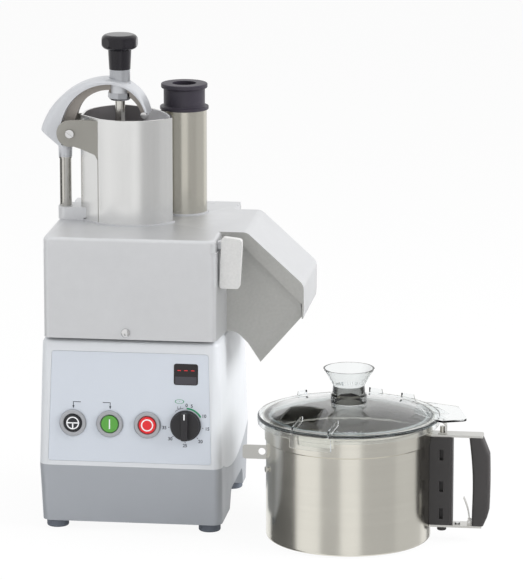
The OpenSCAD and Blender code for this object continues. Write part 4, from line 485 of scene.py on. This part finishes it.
# Speed knob and its scale. The knob is moulded in black with a raised grip bar and a white
# mark; the numbers, ticks and the green part of the scale are printed round it.
dial_x, dial_up = 79.0, 61.7
knob_gap, knob_high, mark_sink = 0.3, 17.0, 0.05
mark_from, mark_to = dial_up + 11.2, dial_up + 17.6
finished("speed_knob", "speed_knob", black_moulding, edge=0.5, steps=2)
lay_print("knob_mark", [stroke(dial_x, mark_from, dial_x, mark_to, sign_line)],
          white_ink, panel_face + knob_gap + knob_high - mark_sink, "speed_knob", thick=0.2)
number_high = 6.4
number_places = (("0", 2, 28.2), ("5", 17, 28.6), ("10", 62, 29.0), ("15", 98, 30.5),
                 ("20", 137, 30.5), ("25", 182, 28.8), ("30", 228, 29.5), ("35", 262, 30.5))
ticks_after, tick_inner, tick_outer, tick_line = 70, 23.6, 24.6, 0.8


def number(text, x, y, size):
    """A number as a flat mesh, its strokes a little fattened, with its middle at a point."""
    bpy.ops.object.text_add(location=(x * mm, y * mm, 0))
    word = bpy.context.object
    word.data.body = text
    word.data.size = size * mm
    word.data.offset = 0.12 * mm
    word.data.align_x = "CENTER"
    word.data.align_y = "CENTER"
    select_only([word])
    bpy.ops.object.convert(target="MESH")
    return bpy.context.object


scale_parts = []
for text, turn, radius in number_places:
    across, up = math.sin(math.radians(turn)), math.cos(math.radians(turn))
    scale_parts.append(number(text, dial_x + radius * across, dial_up + radius * up, number_high))
    if turn > ticks_after:
        scale_parts.append(stroke(dial_x + tick_inner * across, dial_up + tick_inner * up,
                                  dial_x + tick_outer * across, dial_up + tick_outer * up, tick_line))
lay_print("speed_numbers", scale_parts, dark_ink, on_panel, "motor_base")
lay_print("low_speed_arc", [band(dial_x, dial_up, inner=22.9, outer=25.2, start=3, end=60, steps=24)],
          green_ink, on_panel, "motor_base")
disc_x, disc_up = dial_x - 9.0, dial_up + 33.5
disc_rim = band(disc_x, disc_up, inner=2.6, outer=3.1, wide=2.1)
disc_hub = disc(disc_x, disc_up, radius=0.5)
lay_print("disc_sign", [disc_rim, disc_hub], green_ink, on_panel, "motor_base")
bowl_left, bowl_right = dial_x - 11.5, dial_x - 7.6
bowl_rim, bowl_foot, bowl_line = dial_up + 26.5, dial_up + 23.4, 0.5
lay_print("bowl_sign", [
    stroke(bowl_left, bowl_rim, bowl_left, bowl_foot, bowl_line),
    stroke(bowl_left, bowl_foot, bowl_right, bowl_foot, bowl_line),
    stroke(bowl_right, bowl_foot, bowl_right, bowl_rim, bowl_line),
    band(dial_x, dial_up, inner=24.2, outer=24.8, start=322, end=352, steps=12),
], dark_ink, on_panel, "motor_base")


# Display. A tinted plastic window flush in the panel, with three red segments lit behind its
# upper half and a plain dark strip below them.
display_x, display_up = 78.8, 133.5
window_face = 0.5
on_window = window_face - ink_sink
strip_wide, strip_high, strip_drop = 30.0, 11.0, 8.6
segment_half, segment_up, segment_line, segment_pitch = 1.9, 5.6, 0.9, 9.5
window_tint = skin_material("tinted_window", seen(20, 11, 14), metallic=0.0, roughness=0.22,
                            grains=3000, depth=0.002, spread=0.1)
finished("display_window", "motor_base", window_tint, edge=0.3)
strip_grey = skin_material("window_strip", seen(62, 60, 66), metallic=0.0, roughness=0.4,
                           grains=3000, depth=0.003, spread=0.06)
bpy.ops.mesh.primitive_plane_add(size=1, location=(display_x * mm, (display_up - strip_drop) * mm, 0))
strip = bpy.context.object
strip.scale = (strip_wide * mm, strip_high * mm, 1)
lay_print("display_strip", [strip], strip_grey, on_window, "motor_base", thick=0.1)
segment_glow, glow_tree, glow = new_material("lit_segments")
glow.inputs["Base Color"].default_value = seen(190, 20, 30)
glow.inputs["Roughness"].default_value = 0.4
glow.inputs["Emission Strength"].default_value = 0.8
glow_noise = place_group(glow_tree, cast_skin, Grains_per_metre=1500.0)
glow_tree.links.new(mixed(glow_tree, glow_noise.outputs["Grain"], seen(150, 8, 18), seen(232, 36, 46)),
                    glow.inputs["Emission Color"])
lay_print("display_segments", [
    stroke(display_x + dx - segment_half, display_up + segment_up,
           display_x + dx + segment_half, display_up + segment_up, segment_line)
    for dx in (-segment_pitch, 0, segment_pitch)
], segment_glow, on_window, "motor_base", thick=0.12)


# Slicing chamber. The lower half of the head, cast in aluminium and shot-blasted to a satin
# skin, with its chute darker and rougher. A stud stands in its front, a tongue on the chute bears the
# latch and a steel pin at the back bears the lid.
# its convex edges are brightened, partly as wear and partly as a painted highlight
cast_metal = skin_material("satin_cast_aluminium", seen(209, 210, 212), metallic=0.75, roughness=0.42,
                           grains=850, depth=0.03, spread=0.03, polish=0.04, wear_highlight=0.15)
darker_rough_cast = skin_material("darker_rough_casting", seen(178, 178, 175), metallic=0.6, roughness=0.55,
                         grains=600, depth=0.05, spread=0.09, patches=260)


def second_skin(piece, material, wanted):
    """Gives the faces that a test picks the second material of a piece."""
    piece.data.materials.append(material)
    for face in piece.data.polygons:
        if wanted(face):
            face.material_index = 1


polished = skin_material("polished_steel", seen(214, 214, 214), metallic=1.0, roughness=0.12,
                         grains=2500, depth=0.004, spread=0.03)
chamber = finished("vegetable_bowl", "motor_base", cast_metal, edge=0.7, steps=2)
chute_from = motor_axis.x + 128 * mm
# the chute gets a darker, rougher colour than the rest of the chamber
second_skin(chamber, darker_rough_cast, lambda face: face.center.x > chute_from)
finished("front_stud", "motor_base", polished, edge=0.2)
finished("latch_bracket", "motor_base", cast_metal, edge=0.3)
keep_solid("hinge_pin", turned_steel)


# Latch. A cast aluminium lever at the front of the chute that hooks over the lid and turns on
# a steel pin. Its faces are shot-blasted like the head and its corners are rounded.
latch_cast = skin_material("blasted_latch", seen(216, 216, 215), metallic=0.45, roughness=0.55,
                           grains=700, depth=0.06, spread=0.09, patches=380)
finished("latch_lever", "latch", latch_cast, edge=1.1, steps=3)


# Discharge plate, slicing disc and nut. The plate is cast aluminium, the disc is stainless
# steel with two ground blades, and a black nut holds them on the spindle.
brushed_disc = skin_material("ground_disc", seen(184, 186, 188), metallic=1.0, roughness=0.3,
                             grains=1800, depth=0.02)
finished("discharge_plate", "drive", cast_metal, edge=0.6)
finished("slicing_disc", "drive", brushed_disc, edge=0.2, steps=1)
keep_solid("disc_nut", black_moulding)


# Head lid. The upper casting of the head, hinged at the back, whose right end slopes down over
# the chute. Its rounded top edges are brighter, partly wiped and partly a painted highlight, and its
# front over the chute is darker and rougher.
cover = finished("feed_head_cover", "feed_head", cast_metal, edge=0.6, steps=2)
cover_front = motor_axis.y - 80 * mm
cover_leeway, facing_front = 2 * mm, -0.9
# the lid's front over the chute gets the same darker, rougher colour
second_skin(cover, darker_rough_cast, lambda face: face.center.x > chute_from
            and face.normal.y < facing_front and abs(face.center.y - cover_front) < cover_leeway)


# Feed tubes. The large hopper and the round tube are welded from sheet and brushed up and down,
# with a weld line on the hopper's front wall at the end of the ears. The inside of the hopper
# is dull, with a painted reflection that brightens it towards the right, and the lever ears and the rod
# block are cast.
def brushed_group():
    """Fine parallel lines of a brushed sheet, along the axis with the low number."""
    group, start, end = new_group(
        "brushed_lines",
        [("Lines per metre", "NodeSocketVector", (900.0, 900.0, 9.0))],
        ["Lines", "Streaks"],
    )
    place = group.nodes.new("ShaderNodeTexCoord").outputs["Object"]
    stretch = group.nodes.new("ShaderNodeVectorMath")
    stretch.operation = "MULTIPLY"
    group.links.new(place, stretch.inputs[0])
    group.links.new(start.outputs["Lines per metre"], stretch.inputs[1])
    along = stretch.outputs["Vector"]
    group.links.new(noise_in(group, along, detail=3.0, fixed=1.0), end.inputs["Lines"])
    group.links.new(noise_in(group, along, detail=2.0, fixed=0.12), end.inputs["Streaks"])
    return group


brushed_lines = brushed_group()


def brushed_material(name, colour, roughness, lines, metallic=1.0, depth=0.012):
    """Brushed sheet: lines in its relief, streaks in its colour and wiping marks in its shine."""
    spread, polish = 0.03, 0.03
    material, tree, shader = new_material(name)
    shader.inputs["Metallic"].default_value = metallic
    strokes = place_group(tree, brushed_lines, Lines_per_metre=lines)
    streaked = mixed(tree, strokes.outputs["Streaks"],
                     shaded(colour, 1 - spread), shaded(colour, 1 + spread))
    tree.links.new(streaked, shader.inputs["Base Color"])
    marked_roughness(tree, shader, roughness + polish, roughness - polish, marks=18.0)
    bumped(tree, shader, strokes.outputs["Lines"], depth * mm)
    return material


upright_lines = (1200.0, 1200.0, 12.0)
tube_metal = brushed_material("brushed_aluminium_tube", seen(222, 222, 221), roughness=0.24,
                              lines=upright_lines, metallic=0.95)
ear_metal = skin_material("matt_cast_ear", seen(158, 156, 150), metallic=0.6, roughness=0.5,
                          grains=900, depth=0.04, spread=0.05)
hopper = finished("large_hopper", "feed_head", tube_metal, edge=0.7, steps=3)
dull_inside_and_reflection = skin_material("dull_hopper_inside_painted_reflection", seen(124, 121, 122), metallic=0.4, roughness=0.5,
                              grains=1200, depth=0.02, spread=0.06)
hopper_axis = axis_of("large_hopper")


def paint_reflection_right(material, x_from, x_to, colour):
    """Paints a reflection on a surface: its colour goes over to a brighter one towards the right,
    between two places.
    """
    tree = material.node_tree
    shader = tree.nodes["Principled BSDF"]
    across = tree.nodes.new("ShaderNodeSeparateXYZ")
    tree.links.new(tree.nodes.new("ShaderNodeTexCoord").outputs["Object"], across.inputs["Vector"])
    share = tree.nodes.new("ShaderNodeMapRange")
    share.inputs["From Min"].default_value = x_from
    share.inputs["From Max"].default_value = x_to
    tree.links.new(across.outputs["X"], share.inputs["Value"])
    left = shader.inputs["Base Color"].links[0].from_socket
    tree.links.new(mixed(tree, share.outputs["Result"], left, colour), shader.inputs["Base Color"])


# painted reflection: the dull inside of the hopper turns near white towards its right wall
reflection_from, reflection_to = hopper_axis.x + 12 * mm, hopper_axis.x + 22 * mm
paint_reflection_right(dull_inside_and_reflection, reflection_from, reflection_to, seen(248, 248, 250))
wall_tilt = 0.5
second_skin(hopper, dull_inside_and_reflection, lambda face: abs(face.normal.z) < wall_tilt
            and face.normal.dot(face.center.xy.to_3d() - hopper_axis) < 0)
steel_tube = brushed_material("brushed_steel_tube", seen(196, 193, 183), roughness=0.24,
                              lines=upright_lines, metallic=0.95)
finished("small_hopper_tube", "feed_head", steel_tube, edge=0.5, steps=2)
ears = finished("lever_ears", "feed_head", ear_metal, edge=0.8, steps=3)
ear_end = max(vertex.co.x for vertex in ears.data.vertices)
seam_low, seam_high, seam_radius = 421 * mm, 516 * mm, 0.5 * mm
seam_middle = (seam_low + seam_high) / 2
in_front, backwards = Vector((ear_end, hopper_axis.y - 0.3, seam_middle)), Vector((0, 1, 0))
on_wall = hopper.ray_cast(in_front, backwards)[1]
bpy.ops.mesh.primitive_cylinder_add(vertices=12, radius=seam_radius, depth=seam_high - seam_low,
                                    location=(ear_end, on_wall.y, seam_middle))
bpy.ops.object.transform_apply(location=True, rotation=True, scale=True)
seam = bpy.context.object
seam.name = "hopper_seam"
coat(seam, ear_metal)
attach(seam, "feed_head")
finished("lever_pin", "feed_head", polished, edge=0.3)
finished("rod_block", "feed_head", cast_metal, edge=1.0, steps=3)


# Lever. The arched arm that presses the large pusher down: a domed flange over a narrower web,
# cast in aluminium, with the flange satin finished, painted shade on the recessed web and on the
# faces under the arch, and a bronze bushing at its pin.
# its convex edges are brightened, partly as wear and partly as a painted highlight
arm_metal = skin_material("satin_arm_casting", seen(205, 207, 211), metallic=0.7, roughness=0.38,
                          grains=900, depth=0.02, spread=0.03, wear_highlight=0.1)
# painted shade: a darker colour for the recessed web and the underside of the arch
web_painted_shade = skin_material("painted_shade_web", seen(158, 152, 146), metallic=0.5, roughness=0.5,
                         grains=700, depth=0.04, spread=0.05)
bronze = skin_material("sintered_bronze", seen(168, 140, 84), metallic=0.9, roughness=0.4,
                       grains=2400, depth=0.03, spread=0.12)
arm = finished("lever_arm", "lever", arm_metal, edge=0.8, steps=3)
arm_middle = axis_of("pusher_rod").y
web_reach, facing_down = 11 * mm, -0.8
arch_middle = motor_axis + Vector((-0.047, 0, 0.558))


def faces_out(face, outwards=0.3):
    """Whether a face of the arm looks away from the middle of its arch."""
    away = (face.center - arch_middle) * Vector((1, 0, 1))
    return face.normal.dot(away.normalized()) > outwards


# painted shade goes on the web near the middle of the arm and on faces that look down, inside the arch
second_skin(arm, web_painted_shade, lambda face: not faces_out(face)
            and (abs(face.center.y - arm_middle) < web_reach or face.normal.z < facing_down))
keep_solid("lever_bushing", bronze)
finished("pusher_bushing", "lever", collar_metal, edge=0.5)
finished("tip_pin", "lever", polished, edge=0.5)


# Large pusher. A steel rod through the arm with a cast plate below and a glossy black knob
# above, eight-sided with a tapered neck, moulded on to the rod.
rod_steel = brushed_material("drawn_rod", seen(206, 204, 198), roughness=0.2,
                             lines=(1500.0, 1500.0, 20.0), depth=0.006)
gloss_black = skin_material("gloss_black_knob", seen(24, 22, 27), metallic=0.0, roughness=0.2,
                            grains=1800, depth=0.004, spread=0.1, polish=0.06)
gloss_black.node_tree.nodes["Principled BSDF"].inputs["Specular IOR Level"].default_value = 0.35
finished("pusher_rod", "pusher", rod_steel, edge=0.4)
finished("pusher_plate", "pusher", cast_metal, edge=0.8)
finished("pusher_knob", "pusher", gloss_black, edge=1.6, steps=3, sharp=22)


# Restart rod. A ground steel rod beside the hopper that the lever pushes down to switch the
# motor on again; it slides through the rod block into the head. A collar, a little wider
# towards its top, sits on the rod's upper end.
rod = finished("restart_rod", "restart_rod", rod_steel, edge=0.4, level=False)
rod_axis = axis_of("restart_rod")
rod_radius = rod.dimensions.x / 2
cap_thin, cap_thick, cap_high, cap_middle = 0.2 * mm, 0.7 * mm, 20 * mm, 0.518
bpy.ops.mesh.primitive_cone_add(vertices=64, radius1=rod_radius + cap_thin,
                                radius2=rod_radius + cap_thick, depth=cap_high,
                                location=rod_axis + Vector((0, 0, cap_middle)))
bpy.ops.object.transform_apply(location=True, rotation=True, scale=True)
rod_cap = bpy.context.object
rod_cap.name = "restart_rod_cap"
ease_edges(rod_cap, width=0.5, steps=2, sharp=32)
bpy.ops.object.shade_smooth_by_angle(angle=math.radians(32))
coat(rod_cap, arm_metal)
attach(rod_cap, "restart_rod")


# Small pusher. A hollow moulded pusher that fills the round tube, with a flange that rests on
# the tube's rim and a rounded top. The moulding is matt and slightly violet.
violet_black = skin_material("matt_black_pusher", seen(44, 40, 50), metallic=0.0, roughness=0.46,
                             grains=1300, depth=0.03, spread=0.1)
finished("small_pusher", "small_pusher", violet_black, edge=1.7, steps=4)


# Cutter bowl. Drawn from stainless sheet with a wider band under its rim, brushed round and
# round, with a welded tab and stud on the left.
bowl_steel = brushed_material("brushed_bowl_steel", seen(222, 219, 209), roughness=0.21,
                              lines=(14.0, 14.0, 1500.0))
plain_steel = brushed_material("brushed_strap_steel", seen(206, 205, 201), roughness=0.3,
                               lines=(30.0, 1400.0, 1400.0))
finished("cutter_bowl", "cutter_bowl", bowl_steel, edge=0.3)
finished("bowl_tab", "cutter_bowl", plain_steel, edge=0.3)


# Bowl handle. A moulded bracket screwed to the bowl, two steel straps and a soft grip between
# them; the interlock rod with its dark lower end, its guide and the leaf spring sit beside it.
charcoal = skin_material("charcoal_moulding", seen(48, 46, 46), metallic=0.0, roughness=0.5,
                         grains=1400, depth=0.03, spread=0.06)
grip_black = skin_material("soft_grip", seen(56, 54, 54), metallic=0.0, roughness=0.6,
                           grains=1100, depth=0.06, spread=0.06)
finished("handle_bracket", "cutter_bowl", charcoal, edge=0.5)
finished("handle_straps", "cutter_bowl", plain_steel, edge=0.3)
finished("handle_grip", "cutter_bowl", grip_black, edge=0.0, sharp=40, flat=0.05)
finished("handle_screws", "cutter_bowl", polished, edge=0.2)
finished("interlock_bracket", "cutter_bowl", plain_steel, edge=0.2)
plunger = finished("interlock_rod", "interlock_rod", rod_steel, edge=0.3)
plunger_end = 30 * mm
second_skin(plunger, charcoal, lambda face: face.center.z < plunger_end)
finished("handle_spring", "handle_spring", plain_steel, edge=0.15)


# Cutter. A cast hub that drops over the centre tube of the bowl, two ground and hardened
# sickle blades, and a black cap on its top.
finished("blade_hub", "blade", cast_metal, edge=0.6)
finished("cutter_blades", "blade", brushed_disc, edge=0.25, steps=1)
keep_solid("blade_cap", black_moulding)


# Clear lid. Injection moulded in clear polycarbonate: a dome with a feed funnel, three locking
# lugs with ribs and a long ear that presses the interlock. A seal sits under its rim.
def mixed_shaders(tree, factor, first, second):
    """Ends a material or a world in a shader that goes from the first to the second."""
    choose = tree.nodes.new("ShaderNodeMixShader")
    tree.links.new(factor, choose.inputs["Fac"])
    tree.links.new(first, choose.inputs[1])
    tree.links.new(second, choose.inputs[2])
    end = next(node for node in tree.nodes if node.name in ("Material Output", "World Output"))
    tree.links.new(choose.outputs["Shader"], end.inputs["Surface"])


def clear_material(name, colour, roughness, index):
    """Clear moulding: glass for the eye, and plain see-through for shadow rays."""
    material, tree, shader = new_material(name)
    shader.inputs["Transmission Weight"].default_value = 1.0
    shader.inputs["IOR"].default_value = index
    skin = place_group(tree, cast_skin, Grains_per_metre=300.0)
    clouded = mixed(tree, skin.outputs["Patches"], shaded(colour, 0.98), colour)
    tree.links.new(clouded, shader.inputs["Base Color"])
    marked_roughness(tree, shader, roughness, roughness * 2, marks=20.0)
    through = tree.nodes.new("ShaderNodeBsdfTransparent")
    through.inputs["Color"].default_value = shaded(colour, 0.95)
    shadow = tree.nodes.new("ShaderNodeLightPath").outputs["Is Shadow Ray"]
    mixed_shaders(tree, shadow, shader.outputs["BSDF"], through.outputs["BSDF"])
    return material


polycarbonate = clear_material("clear_polycarbonate", seen(248, 250, 250), roughness=0.02, index=1.45)
seal_rubber = skin_material("clear_grey_seal", seen(176, 184, 184), metallic=0.0, roughness=0.5,
                            grains=1400, depth=0.02)
finished("bowl_lid", "bowl_lid", polycarbonate, edge=0.4)
keep_solid("lid_seal", seal_rubber)


# Floor, light and camera. A pale floor under a white background, soft lamps on both sides and
# above, grey cards for the steel to mirror, and a long lens a little to the right of the
# machine and a little above it.
def any_ray(tree, first, *more):
    """1 for rays of any of these kinds, otherwise 0."""
    path = tree.nodes.new("ShaderNodeLightPath")
    met = path.outputs[first]
    for kind in more:
        largest = tree.nodes.new("ShaderNodeMath")
        largest.operation = "MAXIMUM"
        tree.links.new(met, largest.inputs[0])
        tree.links.new(path.outputs[kind], largest.inputs[1])
        met = largest.outputs["Value"]
    return met


def floor_material(paper_grey=0.9, white_share=0.93):
    """Paper that the eye sees almost as white as the background, with soft shadows left."""
    material, tree, shader = new_material("pale_floor")
    tree.nodes.remove(shader)
    paper = tree.nodes.new("ShaderNodeBsdfDiffuse")
    paper.inputs["Color"].default_value = (paper_grey, paper_grey, paper_grey, 1)
    lift = tree.nodes.new("ShaderNodeEmission")
    lift.inputs["Color"].default_value = (1, 1, 1, 1)
    share = tree.nodes.new("ShaderNodeMath")
    share.operation = "MULTIPLY"
    share.inputs[1].default_value = white_share
    tree.links.new(any_ray(tree, "Is Camera Ray", "Is Transmission Ray"), share.inputs[0])
    mixed_shaders(tree, share.outputs["Value"], paper.outputs["BSDF"], lift.outputs["Emission"])
    return material


bpy.ops.object.select_all(action="DESELECT")
floor_wide, floor_drop = 24, 0.0002
bpy.ops.mesh.primitive_grid_add(x_subdivisions=8, y_subdivisions=8, size=floor_wide,
                                location=(0, 0, -floor_drop))
floor = bpy.context.object
floor.name = "floor"
floor.data.materials.append(floor_material())
floor.visible_glossy = False

world = bpy.data.worlds.new("studio")
bpy.context.scene.world = world
world.use_nodes = True
sky = world.node_tree
room = sky.nodes["Background"]
room.inputs["Color"].default_value = (1, 1, 1, 1)
room.inputs["Strength"].default_value = 0.55
backdrop = sky.nodes.new("ShaderNodeBackground")
backdrop.inputs["Color"].default_value = (1, 1, 1, 1)
backdrop.inputs["Strength"].default_value = 1.0
shown = any_ray(sky, "Is Camera Ray", "Is Glossy Ray", "Is Transmission Ray")
mixed_shaders(sky, shown, room.outputs["Background"], backdrop.outputs["Background"])


def soft_lamp(name, place, aim, width, height, watts):
    """A soft rectangular lamp that shines on a point and isn't mirrored."""
    lamp = bpy.data.lights.new(name, "AREA")
    lamp.shape = "RECTANGLE"
    lamp.size = width
    lamp.size_y = height
    lamp.energy = watts
    holder = bpy.data.objects.new(name, lamp)
    bpy.context.scene.collection.objects.link(holder)
    holder.location = place
    holder.rotation_euler = (Vector(aim) - Vector(place)).to_track_quat("-Z", "Y").to_euler()
    holder.visible_glossy = False
    holder.visible_transmission = False


def studio_card(name, turn_from, turn_to, grey, low=-6.0, high=6.0, reach=4.0):
    """A tall grey card that metal mirrors, between two turns in degrees from front to right."""
    bpy.ops.object.select_all(action="DESELECT")
    half = reach * math.tan(math.radians((turn_to - turn_from) / 2))
    middle = math.radians((turn_from + turn_to) / 2)
    place = (reach * math.sin(middle), -reach * math.cos(middle), (low + high) / 2)
    bpy.ops.mesh.primitive_grid_add(x_subdivisions=2, y_subdivisions=2, size=2,
                                    rotation=(math.pi / 2, 0, middle), location=place)
    card = bpy.context.object
    card.name = name
    card.scale = (half, (high - low) / 2, 1)
    material, tree, shader = new_material(name + "_grey")
    tree.nodes.remove(shader)
    shine = tree.nodes.new("ShaderNodeEmission")
    shine.inputs["Color"].default_value = (grey, grey, grey, 1)
    tree.links.new(shine.outputs["Emission"], tree.nodes["Material Output"].inputs["Surface"])
    card.data.materials.append(material)
    card.visible_camera = False
    card.visible_diffuse = False
    card.visible_transmission = False
    card.visible_shadow = False


bowl_cards_top = -0.66
studio_card("left_dark_card", -132, -70, grey=0.11, high=bowl_cards_top)
studio_card("front_left_card", -31, -3, grey=0.52, high=bowl_cards_top)
studio_card("front_right_card", 24, 74, grey=0.58)
studio_card("right_card", 74, 126, grey=0.68)
studio_card("back_right_dark_card", 146, 162, grey=0.24, high=bowl_cards_top)
soft_lamp("right_softbox", (2.2, -0.4, 1.3), aim=(0, 0, 0.3), width=1.6, height=1.6, watts=68)
soft_lamp("left_softbox", (-1.6, -1.8, 1.4), aim=(0, 0, 0.3), width=1.2, height=1.6, watts=12)
soft_lamp("top_softbox", (0.0, 0.3, 2.6), aim=(0, 0, 0.2), width=2.2, height=1.8, watts=26)

# the camera fitted to the photograph: its aim, its turn to the right, its rise and its distance
target = motor_axis + Vector((0.16465, 0.013, 0.31806))
turn, rise, away = math.radians(7.346), math.radians(12.687), 5.9003
focal_length, frame_height, sensor = 4163.2, 580, 36.0
view = bpy.data.cameras.new("camera")
camera = bpy.data.objects.new("camera", view)
bpy.context.scene.collection.objects.link(camera)
camera.location = target + away * Vector(
    (math.sin(turn) * math.cos(rise), -math.cos(turn) * math.cos(rise), math.sin(rise)))
camera.rotation_euler = (target - camera.location).to_track_quat("-Z", "Y").to_euler()
view.sensor_width = sensor
view.lens = focal_length / frame_height * sensor
view.clip_end = 60.0
bpy.context.scene.camera = camera
bpy.context.scene.view_settings.view_transform = "Standard"
